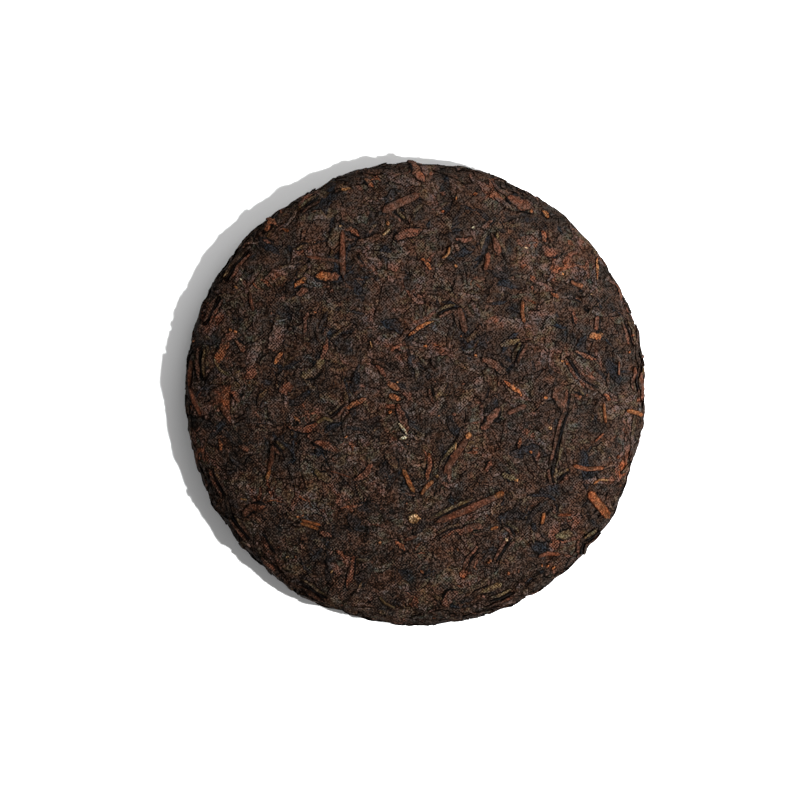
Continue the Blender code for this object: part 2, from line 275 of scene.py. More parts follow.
# %% [markdown]
# ## The form of the cake
# The form is a turned one: a low dome with squarish shoulders, a rounded rim that is widest 9.5 mm
# above the table, a flat ring to lie on, and the hollow that the knot of the bag leaves underneath. A
# profile line says it all. Each side of the cake is then a flat map, where a place is a distance along
# the profile and an angle, which makes it easy to lay things on it at their true size. The values are
# the same as in the solid.

# %% Profile
CAKE_RADIUS = 97.5 * MM
CAKE_HEIGHT = 25.0 * MM
FOOT_RADIUS = 74.0 * MM
HOLLOW_RADIUS = 29.0 * MM
HOLLOW_DEPTH = 11.0 * MM
HOLLOW_POWER = 0.9
DOME_POWER = 3.0
UNDERSIDE_POWER = 2.3
OUTLINE_WAVES = (
    (1, 0.35 * MM, -52),
    (2, 0.25 * MM, 84),
    (3, 0.25 * MM, -60),
    (5, 0.35 * MM, -55),
    (8, 0.25 * MM, 57),
    (13, 0.20 * MM, 20),
)
STEPS = np.linspace(0.0, 1.0, 241)


def smooth(low, high, value):
    """0 below low, 1 above high, and an S curve between them."""
    share = np.clip((value - low) / (high - low), 0.0, 1.0)
    return share * share * (3.0 - 2.0 * share)


def quarter_round(radius, height, power, share):
    """Radius and height on a squarish quarter ellipse, from its top at share 0 to its side at share 1."""
    angle = share * math.pi / 2.0
    upright = np.clip(np.cos(angle), 0.0, 1.0)
    return radius * np.sin(angle) ** (2.0 / power), height * upright ** (2.0 / power)


def face_line():
    """The profile from the middle of the face over the rim to the foot."""
    radius, height = quarter_round(CAKE_RADIUS, CAKE_HEIGHT - WIDEST_HEIGHT, DOME_POWER, STEPS)
    dome = np.column_stack((radius, WIDEST_HEIGHT + height))
    across, down = quarter_round(CAKE_RADIUS - FOOT_RADIUS, WIDEST_HEIGHT, UNDERSIDE_POWER, STEPS[::-1])
    under = np.column_stack((FOOT_RADIUS + across, WIDEST_HEIGHT - down))
    return np.vstack((dome, under[1:]))


def base_line():
    """The profile from the middle of the hollow over the flat ring to the rim."""
    hollow = HOLLOW_DEPTH * (1.0 - smooth(0.0, 1.0, STEPS) ** HOLLOW_POWER)
    middle = np.column_stack((HOLLOW_RADIUS * STEPS, hollow))
    ring = np.column_stack((HOLLOW_RADIUS + (FOOT_RADIUS - HOLLOW_RADIUS) * STEPS, 0.0 * STEPS))
    across, down = quarter_round(CAKE_RADIUS - FOOT_RADIUS, WIDEST_HEIGHT, UNDERSIDE_POWER, STEPS)
    under = np.column_stack((FOOT_RADIUS + across, WIDEST_HEIGHT - down))
    return np.vstack((middle, ring[1:], under[1:]))


print("Highest point of the profile in mm:", round(face_line()[:, 1].max() / MM, 1))

# %% [markdown]
# ## Lumps, gaps and the chip
# The pressed mass isn't perfectly even. Soft lumps rise and fall over it, the leaves crumple it more
# finely, the flat ring has shallow gaps, and beside the right rim a pinch of leaf has broken out. The
# relief is added along the surface's own direction, so it works on the face, round the rim and
# underneath alike.

# %% Relief
LUMP_HEIGHT = 0.7 * MM
LUMP_SIZE = 17.0 * MM
CRUMPLES = ((0.8 * MM, 6.5 * MM), (0.3 * MM, 3.0 * MM))
BASE_RELIEF = 1.6 * MM
BASE_RELIEF_SIZE = 15.0 * MM
REST_PATCH = (58.0 * MM, 0.0)
REST_PATCH_RADIUS = 9.0 * MM
LUMPS_BEGIN = (0.4 * MM, 3.0 * MM)
CHIP_DEPTH = 2.0 * MM
# The chip is three round pinches: the pixel of each one's middle, and its radius.
CHIP = {
    "upper": ((574, 281), 1.6 * MM),
    "middle": ((577, 296), 2.4 * MM),
    "lower": ((584, 309), 1.6 * MM),
}


def noise_at(points, size, shift=(0.0, 0.0, 0.0)):
    """Blender's own noise at each point, between -1 and 1."""
    away = Vector(shift)
    return np.array([noise.noise(Vector(point) / size + away) for point in points])


def chipped(points):
    """How much of the chip's depth is gone at each point, 0 to 1."""
    gone = np.zeros(len(points))
    for pixel, radius in CHIP.values():
        x, y = plan(*pixel)
        away = np.hypot(points[:, 0] - x, points[:, 1] - y) / radius
        gone = np.maximum(gone, np.exp(-(away**4)))
    return gone * (points[:, 2] > WIDEST_HEIGHT)


def relief(points, normals):
    """How far the pressed mass stands above its mean surface at each point."""
    lump = LUMP_HEIGHT * noise_at(points, LUMP_SIZE)
    lump += sum(height * noise_at(points, size, (size / MM, 0.3, 0.7)) for height, size in CRUMPLES)
    rise = smooth(*LUMPS_BEGIN, points[:, 2])
    away = np.hypot(points[:, 0] - REST_PATCH[0], points[:, 1] - REST_PATCH[1])
    gap = np.clip(noise_at(points, BASE_RELIEF_SIZE, (3.1, 7.7, 1.3)), 0.0, 1.0)
    gap = -BASE_RELIEF * gap * smooth(REST_PATCH_RADIUS, 1.6 * REST_PATCH_RADIUS, away)
    on_top = lump - CHIP_DEPTH * chipped(points)
    return np.where(normals[:, 2] > 0.0, on_top, lump * rise + gap * (1.0 - rise))


NEARLY_NOTHING = 1e-9


class Side:
    """One side of the cake as a flat map."""

    def __init__(self, line, outward):
        steps = np.diff(line, axis=0)
        sizes = np.hypot(steps[:, 0], steps[:, 1])
        self.line = line
        self.lengths = np.concatenate(([0.0], np.cumsum(sizes)))
        self.middles = (self.lengths[1:] + self.lengths[:-1]) / 2.0
        self.out = -steps[:, 1] / sizes * outward
        self.up = steps[:, 0] / sizes * outward

    def distance_at(self, radius):
        """The distance along the profile at which it first reaches this radius."""
        widest = int(np.argmax(self.line[:, 0] >= self.line[:, 0].max() - NEARLY_NOTHING)) + 1
        return np.interp(radius, self.line[:widest, 0], self.lengths[:widest])

    def place(self, u, v, lift=0.0):
        """The points over map places (u, v), raised by lift, and the directions that face out there."""
        u, v = np.atleast_1d(u), np.atleast_1d(v)
        angle, distance = np.arctan2(v, u), np.hypot(u, v)
        radius = np.interp(distance, self.lengths, self.line[:, 0])
        height = np.interp(distance, self.lengths, self.line[:, 1])
        out = np.interp(distance, self.middles, self.out)
        up = np.interp(distance, self.middles, self.up)
        waves = sum(size * np.cos(n * (angle - math.radians(at))) for n, size, at in OUTLINE_WAVES)
        radius = radius + waves * (radius / CAKE_RADIUS) ** 3
        points = np.column_stack((radius * np.cos(angle), radius * np.sin(angle), height))
        normals = np.column_stack((out * np.cos(angle), out * np.sin(angle), up))
        return points + normals * (lift + relief(points, normals))[:, None], normals


face, base = Side(face_line(), 1.0), Side(base_line(), -1.0)
FACE_REACH = face.distance_at(CAKE_RADIUS)
print("From the middle of the face to the rim along the surface:", round(FACE_REACH / MM, 1), "mm")

# %% [markdown]
# ## The core
# The core is the mass that shows between the leaves. It could be a turned grid, but that crowds its
# points in the middle and stretches them at the rim. Rings of points on the flat maps, joined by a
# Delaunay triangulation, keep one even spacing everywhere. It lies a little deeper than the finished
# surface, because leaves cover it.

# %% Values on points
def keep_values(mesh, name, values):
    """Keeps one number for each point of a mesh."""
    mesh.attributes.new(name, "FLOAT", "POINT").data.foreach_set("value", values)


def keep_places(mesh, name, places):
    """Keeps one place for each point of a mesh."""
    mesh.attributes.new(name, "FLOAT_VECTOR", "POINT").data.foreach_set("vector", np.ravel(places))


ZONES = ("on_face", "on_rim", "on_base")
RIM_BEGINS = (-12.0 * MM, -7.0 * MM)
RING_ENDS = (FOOT_RADIUS + 4.0 * MM, FOOT_RADIUS + 9.0 * MM)


def zone_shares(distance, outer, underneath):
    """The shares of face, rim and underside at a distance along the profile."""
    if underneath:
        rim = float(smooth(*RING_ENDS, distance))
        return 0.0, rim, 1.0 - rim
    rim = float(smooth(*RIM_BEGINS, distance - outer))
    return 1.0 - rim, rim, 0.0


print("Zones at the widest place of the rim:", zone_shares(FACE_REACH, FACE_REACH, False))

# %% Core
FACE_SPACING = 1.25 * MM
BASE_SPACING = 1.8 * MM
CORE_INSET = 0.5 * MM
RIM_COUNT = 420
RING_SHAKE = 0.25
CORE_SEED = 11
CLOTHS_APART = 0.3
SAME_POINT = 1e-7


def ring_points(outer, spacing, rng):
    """Map places in rings out to the rim, shaken a little so that no ring shows."""
    points = [(0.0, 0.0)]
    rings = round(outer / spacing)
    for ring in range(1, rings + 1):
        distance = outer * ring / rings
        last = ring == rings
        count = RIM_COUNT if last else max(6, round(2.0 * math.pi * distance / spacing))
        shake = 0.0 if last else RING_SHAKE * spacing
        turn = 0.0 if last else rng.random()
        for number in range(count):
            angle = 2.0 * math.pi * (number + turn) / count
            x, y = rng.uniform(-shake, shake), rng.uniform(-shake, shake)
            points.append((math.cos(angle) * distance + x, math.sin(angle) * distance + y))
    return points


def core_mesh():
    """The mesh of the core, whose two sides share the points of the rim."""
    rng = random.Random(CORE_SEED)
    places, triangles, cloth, zones, rim = [], [], [], [], {}
    for side, outer, spacing, underneath in (
        (face, FACE_REACH, FACE_SPACING, False),
        (base, base.lengths[-1], BASE_SPACING, True),
    ):
        rings = [Vector(point) for point in ring_points(outer, spacing, rng)]
        flat, _, faces, _, _, _ = delaunay_2d_cdt(rings, [], [], 0, SAME_POINT)
        spots = np.array([tuple(point) for point in flat])
        points, _ = side.place(spots[:, 0], spots[:, 1], -CORE_INSET)
        numbers = []
        for number, point in enumerate(points):
            on_rim = number >= len(points) - RIM_COUNT
            key = round(math.atan2(*spots[number][::-1]) / (2.0 * math.pi) * RIM_COUNT) % RIM_COUNT
            if on_rim and key in rim:
                numbers.append(rim[key])
                continue
            numbers.append(len(places))
            if on_rim:
                rim[key] = numbers[-1]
            places.append(tuple(point))
            cloth.append((*spots[number], 0.0 if underneath else CLOTHS_APART))
            zones.append(zone_shares(float(np.hypot(*spots[number])), outer, underneath))
        triangles += [[numbers[n] for n in (corners[::-1] if underneath else corners)] for corners in faces]
    mesh = bpy.data.meshes.new("core")
    mesh.from_pydata(places, [], triangles)
    mesh.shade_smooth()
    for name, shares in zip(ZONES, zip(*zones)):
        keep_values(mesh, name, shares)
    # How deep the chip is here; the finish paints shade from it.
    keep_values(mesh, "pit", chipped(np.array(places)))
    keep_places(mesh, "cloth", cloth)
    keep_places(mesh, "leaf", cloth)
    return mesh


core = core_mesh()
print("Core:", len(core.vertices), "points,", len(core.polygons), "triangles")

# %% [markdown]
# ## One leaf
# A pressed leaf is thin, so its outline and its folds say what it is. Each one starts as a small grid,
# one unit long and one unit wide, that lies flat; how far a point will stand above the cake is kept as
# an attribute. A skirt and an underside close it. The same grid makes broad leaves, slivers, strands,
# stalks and crumbs, with a few points where hundreds are laid. Several shapes of each kind are drawn
# with a fixed seed.


# %% Leaf outline
TIP_WIDTH = 0.12
TORN_WIDTH, TORN_LENGTH = 0.62, 0.3
END_ROUNDING = 0.14
RIB_WIDTH = 0.22


def leaf_rows(stations, columns, style, rng, bend=None):
    """Rows of (x, y, height, edge) over a leaf, with x and y within half a unit of its middle."""
    blunt, fold = rng.uniform(*style["blunt"]), rng.uniform(0.3, 1.0) * style["fold"]
    skew, any_bend = rng.uniform(0.75, 1.35), rng.uniform(-1.0, 1.0) * style["bend"]
    bend = any_bend if bend is None else bend
    phase, waves = rng.uniform(0.0, 6.3), rng.uniform(1.5, 3.5)
    sway = rng.uniform(-1.0, 1.0) * style["sway"]
    torn = rng.random() < style["torn"]
    ragged = [rng.uniform(1.0 - style["ragged"], 1.0) for _ in range(2 * stations + 2)]
    rows = []
    for i in range(stations + 1):
        t = i / stations
        narrowest = TORN_WIDTH if torn and t < TORN_LENGTH else TIP_WIDTH
        full = max(math.sin(math.pi * t**skew), 0.0) ** blunt
        full = max(full, narrowest) * (1.0 - style["taper"] * t)
        end = abs(2.0 * t - 1.0) ** 6
        row = []
        for j in range(columns + 1):
            s = 2.0 * j / columns - 1.0
            wide = full * (ragged[2 * i] if s < 0.0 else ragged[2 * i + 1])
            x = (t - 0.5) * (1.0 - END_ROUNDING * s * s * end)
            y = 0.5 * s * wide + bend * (math.sin(math.pi * t) - 0.6) + sway * math.sin(2.0 * math.pi * t)
            crown = style["crown"] * (1.0 - s * s) * (0.35 + 0.65 * full)
            folds = fold * math.sin(waves * math.pi * s + phase + 1.3 * t) * (1.0 - 0.6 * end)
            rib = -0.5 * style["rib"] * math.exp(-((s / RIB_WIDTH) ** 2))
            edge = min(1.0, 1.5 * (1.0 - abs(s)) + 0.1, 8.0 * min(t, 1.0 - t) + 0.1)
            row.append((x, y, crown + folds + rib, edge))
        rows.append(row)
    return rows


def closed_leaf(rows, thickness, first=0):
    """The points (x, y, height, edge), faces and sharp outline of a closed leaf, numbered from first."""
    wide = len(rows[0])
    points = [point for row in rows for point in row]
    faces = [
        (at, at + wide, at + wide + 1, at + 1)
        for at in (i * wide + j for i in range(len(rows) - 1) for j in range(wide - 1))
    ]
    loop = list(range(wide)) + [i * wide + wide - 1 for i in range(1, len(rows))]
    loop += [len(points) - 2 - j for j in range(wide - 1)] + [i * wide for i in range(len(rows) - 2, 0, -1)]
    low = [len(points) + number for number in range(len(loop))]
    sharp = list(zip(loop, loop[1:] + loop[:1]))
    faces += [(a, b, low_b, low_a) for (a, b), low_a, low_b in zip(sharp, low, low[1:] + low[:1])]
    faces.append(tuple(low))
    points += [(points[at][0], points[at][1], -thickness, 0.0) for at in loop]
    return points, [[first + n for n in each] for each in faces], [(first + a, first + b) for a, b in sharp]


def attributed_mesh(name, places, faces, sharp, floats, vectors):
    """A smooth mesh of triangles with values kept on its points and some edges sharp."""
    mesh = bpy.data.meshes.new(name)
    mesh.from_pydata(places, [], faces)
    for label, values in floats.items():
        keep_values(mesh, label, values)
    for label, values in vectors.items():
        keep_places(mesh, label, values)
    sharp = {tuple(sorted(pair)) for pair in sharp}
    for edge in mesh.edges:
        edge.use_edge_sharp = tuple(sorted(edge.vertices)) in sharp
    work = bmesh.new()
    work.from_mesh(mesh)
    bmesh.ops.triangulate(work, faces=work.faces)
    for each in work.faces:
        each.smooth = True
    work.to_mesh(mesh)
    work.free()
    return mesh


print("A leaf's tip is", TIP_WIDTH, "of its width, and a torn end", TORN_WIDTH)


# %% Leaf shapes
def style(blunt, bend, sway, torn, ragged, crown, fold, rib=0.0, taper=0.0):
    """One kind of leaf. Its crown, fold and rib are heights in mm, the rest are shares of its size."""
    outline = {"blunt": blunt, "bend": bend, "sway": sway, "torn": torn, "ragged": ragged, "taper": taper}
    return {**outline, "crown": crown * MM, "fold": fold * MM, "rib": rib * MM}


STYLES = {
    "broad": style((0.45, 0.8), bend=0.35, sway=0.12, torn=0.4, ragged=0.35, crown=0.10, fold=0.13, rib=0.1),
    "sliver": style((0.3, 0.6), bend=0.9, sway=0.3, torn=0.3, ragged=0.35, crown=0.16, fold=0.1, rib=0.1),
    "strand": style((0.2, 0.4), bend=1.8, sway=0.8, torn=0.1, ragged=0.2, crown=0.30, fold=0.03),
    "flake": style((0.3, 0.5), bend=0.2, sway=0.1, torn=0.5, ragged=0.5, crown=0.10, fold=0.07),
    "crumb": style((0.3, 0.5), bend=0.1, sway=0.0, torn=0.5, ragged=0.35, crown=0.22, fold=0.05),
    "stalk": style((0.08, 0.12), bend=0.2, sway=0.05, torn=1.0, ragged=0.08, crown=0.40, fold=0.02),
    "marked": style((0.3, 0.7), bend=0.2, sway=0.1, torn=0.7, ragged=0.45, crown=0.12, fold=0.08),
    "wedge": style((0.0, 0.0), bend=0.0, sway=0.0, torn=0.0, ragged=0.08, crown=0.12, fold=0.06, taper=0.95),
}
# Points along a leaf, points across it, and how many different shapes are drawn.
GRIDS = {
    "broad": (9, 4, 12),
    "sliver": (8, 2, 12),
    "strand": (7, 2, 8),
    "flake": (2, 2, 8),
    "crumb": (2, 2, 5),
}
LEAF_SINKS = 1.0 * MM


def shape_collection(kind):
    """A collection of flat leaves of one kind, for Geometry Nodes to pick from."""
    stations, columns, count = GRIDS[kind]
    group = bpy.data.collections.new(kind)
    for number in range(count):
        rows = leaf_rows(stations, columns, STYLES[kind], random.Random(f"{kind} {number}"))
        points, faces, sharp = closed_leaf(rows, LEAF_SINKS)
        x, y, height, edge = zip(*points)
        floats = {"height": height, "along": x, "across": y, "edge": edge}
        flat = [(a, b, 0.0) for a, b in zip(x, y)]
        mesh = attributed_mesh(f"{kind}_{number}", flat, faces, sharp, floats, {})
        group.objects.link(bpy.data.objects.new(mesh.name, mesh))
    return group


shapes = {kind: shape_collection(kind) for kind in GRIDS}

# %% [markdown]
# ## Laying and pressing the leaves
# This is the main step. Points are scattered over one zone of the core, each point gets a flat leaf
# that lies in the plane of the surface, and then every point of every leaf is moved onto the core below
# it and raised by its own height. That wraps a leaf round the rim as damp leaf wraps. Each leaf also
# leans a little, so one edge stands proud and the other dives under its neighbours, and the pressing
# squeezes whatever stands too high. The squeeze is a curve that never quite flattens out, so no two
# leaves end in the same plane, and near the table it lets nothing stand out further than the core is
# high there, so the cake still lies on its flat ring.

# %% Tree inputs
TREE_INPUTS = (
    ("Leaves", "NodeSocketCollection", None),
    ("Material", "NodeSocketMaterial", None),
    ("Zone", "NodeSocketString", "on_face"),
    ("Spacing", "NodeSocketFloat", 5.0 * MM),
    ("Length low", "NodeSocketFloat", 10.0 * MM),
    ("Length high", "NodeSocketFloat", 20.0 * MM),
    ("Width low", "NodeSocketFloat", 4.0 * MM),
    ("Width high", "NodeSocketFloat", 8.0 * MM),
    ("Lift low", "NodeSocketFloat", 0.0),
    ("Lift high", "NodeSocketFloat", 0.5 * MM),
    ("Lean", "NodeSocketFloat", 0.5 * MM),
    ("Pressed height", "NodeSocketFloat", 0.6 * MM),
    ("Crease", "NodeSocketFloat", 0.15 * MM),
    ("Heading", "NodeSocketFloat", 0.0),
    ("Heading spread", "NodeSocketFloat", math.pi),
    ("Seed", "NodeSocketInt", 1),
)


def new_tree(name, inputs):
    """A geometry tree with named inputs, and a wire for each of them."""
    tree = bpy.data.node_groups.new(name, "GeometryNodeTree")
    tree.interface.new_socket("Geometry", in_out="INPUT", socket_type="NodeSocketGeometry")
    for label, kind, value in inputs:
        socket = tree.interface.new_socket(label, in_out="INPUT", socket_type=kind)
        if value is not None:
            socket.default_value = value
    tree.interface.new_socket("Geometry", in_out="OUTPUT", socket_type="NodeSocketGeometry")
    entry = tree.nodes.new("NodeGroupInput")
    return tree, {socket.name: Wire(tree, socket) for socket in entry.outputs if socket.name}


def close_tree(geometry):
    """Ends a tree with the group's output."""
    out = geometry.tree.nodes.new("NodeGroupOutput")
    geometry.tree.links.new(geometry.socket, out.inputs["Geometry"])


print("The tree for laying leaves has", len(TREE_INPUTS), "inputs")


# %% Pressing part of the tree
FOLDS_PER_METRE = 330.0
TINT_APART = 0.3


def attribute(wire, name, kind="FLOAT"):
    """A named attribute of the points at hand."""
    return wire.add("GeometryNodeInputNamedAttribute", {"data_type": kind}, {"Name": name})


def store(wire, name, value, kind="FLOAT"):
    """Keeps a value on the points under a name."""
    settings = {"data_type": kind, "domain": "POINT"}
    values = {"Geometry": wire, "Name": name, "Value": value}
    return wire.add("GeometryNodeStoreNamedAttribute", settings, values)


def press(flat, wires):
    """Moves flat leaves onto the core: each point goes to the surface below it, at its own height."""
    core_wire = wires["Geometry"]
    here = flat.add("GeometryNodeInputPosition")
    near = {"Geometry": core_wire, "Sample Position": here}
    foot = flat.add("GeometryNodeProximity", {"target_element": "FACES"}, near)
    settings = {"data_type": "FLOAT_VECTOR"}
    outward = flat.add("GeometryNodeInputNormal")
    sample = {"Mesh": core_wire, "Value": outward, "Sample Position": here}
    outward = flat.add("GeometryNodeSampleNearestSurface", settings, sample)
    sample = {"Mesh": core_wire, "Value": attribute(flat, "cloth", "FLOAT_VECTOR"), "Sample Position": here}
    cloth = flat.add("GeometryNodeSampleNearestSurface", settings, sample)
    sample = {"Mesh": core_wire, "Value": attribute(flat, "pit"), "Sample Position": here}
    pit = flat.add("GeometryNodeSampleNearestSurface", {"data_type": "FLOAT"}, sample)

    height = attribute(flat, "height")
    is_top = height.math("GREATER_THAN", height, -0.5 * LEAF_SINKS)
    lean = attribute(flat, "along") * attribute(flat, "lean_along")
    lean = lean + attribute(flat, "across") * attribute(flat, "lean_across")
    crease = flat.add("ShaderNodeTexNoise", None, {"Vector": here, "Scale": FOLDS_PER_METRE, "Detail": 2.0})
    raised = height + attribute(flat, "lift") + lean + (crease - 0.5) * wires["Crease"] * is_top
    above_table = flat.add("ShaderNodeSeparateXYZ", None, {0: foot}, "Z")
    limit = flat.math("MINIMUM", wires["Pressed height"], above_table)
    above = flat.math("MAXIMUM", raised, 0.0)
    squeezed = limit * (1.0 - flat.math("EXPONENT", 0.0 - above / limit))
    pressed = squeezed + flat.math("MINIMUM", raised, 0.0)
    offset = flat.vector("SCALE", outward)
    flat.tree.links.new(pressed.socket, offset.socket.node.inputs["Scale"])
    moved = {"Geometry": flat, "Position": foot, "Offset": offset}
    moved = flat.add("GeometryNodeSetPosition", None, moved)

    length, width, tint = (attribute(flat, name) for name in ("length", "width", "tint"))
    along, across = attribute(flat, "along") * length, attribute(flat, "across") * width
    own = flat.add("ShaderNodeCombineXYZ", None, {0: along, 1: across, 2: tint * TINT_APART})
    moved = store(store(moved, "cloth", cloth, "FLOAT_VECTOR"), "pit", pit)
    return store(moved, "leaf", own, "FLOAT_VECTOR")


print("Folds of a pressed leaf are about", round(1.0 / FOLDS_PER_METRE / MM, 1), "mm wide")


# %% Whole tree
CROWDING = 1.6
SEED_STEP = 17
# An index past the last shape starts again at the first.
HIGHEST_INDEX = 1000.0


def laying_tree():
    """Scatters leaves over one zone of the core and presses them against it."""
    tree, wires = new_tree("lay_leaves", TREE_INPUTS)
    start, seed = Wire(tree), wires["Seed"]

    def drawn(number, low, high):
        values = {"Min": low, "Max": high, "Seed": seed + SEED_STEP * number}
        return start.add("FunctionNodeRandomValue", {"data_type": "FLOAT"}, values)

    values = {
        "Mesh": wires["Geometry"],
        "Distance Min": wires["Spacing"],
        "Density Max": CROWDING / (wires["Spacing"] * wires["Spacing"]),
        "Density Factor": attribute(start, wires["Zone"]),
        "Seed": seed,
    }
    scatter = start.add("GeometryNodeDistributePointsOnFaces", {"distribute_method": "POISSON"}, values)
    points = store(scatter, "tint", drawn(1, 0.0, 1.0))
    points = store(points, "lift", drawn(2, wires["Lift low"], wires["Lift high"]))
    points = store(points, "lean_along", drawn(3, -1.0, 1.0) * wires["Lean"])
    points = store(points, "lean_across", drawn(4, -2.0, 2.0) * wires["Lean"])
    points = store(points, "length", drawn(5, wires["Length low"], wires["Length high"]))
    points = store(points, "width", drawn(6, wires["Width low"], wires["Width high"]))

    here = start.add("GeometryNodeInputPosition")
    around = start.vector("CROSS_PRODUCT", (0.0, 0.0, 1.0), here)
    settings = {"primary_axis": "Z", "secondary_axis": "X"}
    lying = {"Primary Axis": scatter.other("Normal"), "Secondary Axis": around}
    lying = start.add("FunctionNodeAxesToRotation", settings, lying)
    angle = wires["Heading"] + drawn(7, -1.0, 1.0) * wires["Heading spread"]
    spin = start.add("FunctionNodeAxisAngleToRotation", None, {"Axis": (0.0, 0.0, 1.0), "Angle": angle})
    turned = {"Rotation": lying, "Rotate By": spin}
    turned = start.add("FunctionNodeRotateRotation", {"rotation_space": "LOCAL"}, turned)
    size = {0: attribute(start, "length"), 1: attribute(start, "width"), 2: 1.0}
    values = {"Collection": wires["Leaves"], "Separate Children": True, "Reset Children": True}
    values = {
        "Points": points,
        "Instance": start.add("GeometryNodeCollectionInfo", None, values),
        "Pick Instance": True,
        "Instance Index": drawn(8, 0.0, HIGHEST_INDEX),
        "Rotation": turned,
        "Scale": start.add("ShaderNodeCombineXYZ", None, size),
    }
    laid = start.add("GeometryNodeInstanceOnPoints", None, values)
    flat = start.add("GeometryNodeRealizeInstances", None, {"Geometry": laid})
    pressed = press(flat, wires)
    painted = {"Geometry": pressed, "Material": wires["Material"]}
    close_tree(start.add("GeometryNodeSetMaterial", None, painted))
    return tree


lay_leaves = laying_tree()
print("The tree has", len(lay_leaves.nodes), "nodes")

# %% [markdown]
# ## Colours
# Ripened tea is nearly black, but no two leaves are the same black: there are blue-black, olive, brown
# and reddish leaves, and here and there an orange one. A picture could give these colours, but it would
# fit this one cake only. So each leaf carries one random number, its tint, and a colour ramp turns it
# into the leaf's colour. The colours are given as a screen shows them, 0 to 255, and made linear for
# the shader.

# %% Palette
def linear(*srgb):
    """A colour as a screen shows it, 0 to 255, made linear for the shader."""
    shares = [value / 255.0 for value in srgb]
    return tuple(c / 12.92 if c <= 0.04045 else ((c + 0.055) / 1.055) ** 2.4 for c in shares)


# Pitch-dark, for the painted shade in cracks, the chip and round the laid pieces.
PITCH_SHADE = linear(7, 5, 4)
WORN_BROWN = linear(33, 24, 18)
BLUE_BLACK = linear(18, 16, 16)
DARK_BROWN = linear(27, 19, 14)
BROWN = linear(38, 26, 20)
OLIVE = linear(38, 30, 21)
GREY_BROWN = linear(47, 36, 30)
PURPLE_BROWN = linear(46, 33, 28)
LIGHT_OLIVE = linear(54, 43, 27)
RUSSET = linear(52, 31, 22)
ROSE_BROWN = linear(57, 34, 25)
TERRACOTTA = linear(67, 37, 22)
ORANGE = linear(82, 47, 25)
OCHRE = linear(88, 64, 41)
BEIGE = linear(102, 86, 66)
LEAF_STOPS = (
    (0.2, BLUE_BLACK),
    (0.36, DARK_BROWN),
    (0.52, BROWN),
    (0.59, OLIVE),
    (0.65, GREY_BROWN),
    (0.71, PURPLE_BROWN),
    (0.8, RUSSET),
    (1.0, TERRACOTTA),
)
LAID_STOPS = (
    (0.0, GREY_BROWN),
    (0.1, LIGHT_OLIVE),
    (0.2, BROWN),
    (0.35, RUSSET),
    (0.5, ROSE_BROWN),
    (0.65, TERRACOTTA),
    (0.8, ORANGE),
    (0.92, OCHRE),
    (1.0, BEIGE),
)
STRAND_STOPS = ((0.2, DARK_BROWN), (0.6, BROWN), (0.8, GREY_BROWN), (0.93, RUSSET), (1.0, TERRACOTTA))
print("Tints:", len(LEAF_STOPS), "stops for most leaves,", len(LAID_STOPS), "for those that catch the eye")

# %% [markdown]
# ## Marks on a leaf
# Patches shift the tint towards red-brown or blue-black over the whole cake, and the bright leaves are
# worn, so that dark leaf shows through them. The light and dark on top of that are counted in stops, as
# a photographer does: the salt and pepper grain of dried leaf, drawn out into veins along each leaf,
# the print of the cloth, whose light and dark is painted shade and highlight of its relief, fine
# streaks, pale hairs, painted shade in the crevice along parts of a leaf's edge, and painted shade in
# the creases. The creases are the borders of bent cells, drawn out along their own leaf, each with a
# lump inside, like crumpled cloth; the bump gives them their form. All of it is worked out from Object
# coordinates or from attributes, so it stays put from every side.

# %% Patches and wear
PATCH = 14.0 * MM
MOTTLE = 3.2 * MM
PATCH_SHARE, MOTTLE_SHARE = 0.9, 0.1
HUE_SIZES = (9.0 * MM, 2.4 * MM)
REDDER, BLUER = 0.9, 0.6
WEAR_SIZES = (3.4 * MM, 1.4 * MM)
WEAR_LIMITS = (0.92, 1.36)


def noise_of(over, size, detail=2.0, distortion=0.0, out=0):
    """Noise over a place, with lumps of one size."""
    values = {"Vector": over, "Scale": 1.0 / size, "Detail": detail, "Distortion": distortion}
    return over.add("ShaderNodeTexNoise", None, values, out)


def leaf_colour(place, mottle, tint, stops, spread, mottled):
    """The colour of a leaf by its tint, shifted in patches, and a little redder or bluer here and there."""
    look_up = ((noise_of(place, PATCH) - 0.5) * PATCH_SHARE + (mottle - 0.5) * MOTTLE_SHARE) * mottled
    look_up = look_up + 0.5 * (1.0 - spread) + tint * spread
    colour = place.add("ShaderNodeValToRGB", {"stops": stops}, {0: look_up}, "Color")
    hue = noise_of(place, HUE_SIZES[0]) + noise_of(place, HUE_SIZES[1]) - 1.0
    shift = {0: 1.0 + hue * REDDER, 1: 1.0, 2: 0.97 - hue * BLUER}
    return place.vector("MULTIPLY", colour, place.add("ShaderNodeCombineXYZ", None, shift))


def worn_through(colour, place, edge, worn):
    """The colour with dark leaf showing where it is worn, most of all along its edges."""
    cover = noise_of(place, WEAR_SIZES[0]) + noise_of(place, WEAR_SIZES[1]) + edge * 0.3
    cover = cover.between(*WEAR_LIMITS)
    mixed = {"Factor": 1.0 - (1.0 - cover) * worn, "A": (*WORN_BROWN, 1.0), "B": colour}
    return place.add("ShaderNodeMix", {"data_type": "RGBA"}, mixed, "Result")


print("Patches of", PATCH / MM, "mm, mottles of", MOTTLE / MM, "mm")

# %% Grain, cloth and creases
GRAIN = 0.45 * MM
SPECK = 0.46 * MM
VEIN_STOPS, SPECK_STOPS = 2.4, 7.8
WEAVE = 0.95 * MM
WEAVE_BENDS = 6.0 * MM
WEAVE_PATCH = 11.0 * MM
CRUMPLE = 3.6 * MM
LONG_VEINS = (0.4, 1.0, 1.0)
LONG_CELLS = (0.42, 1.0, 1.0)


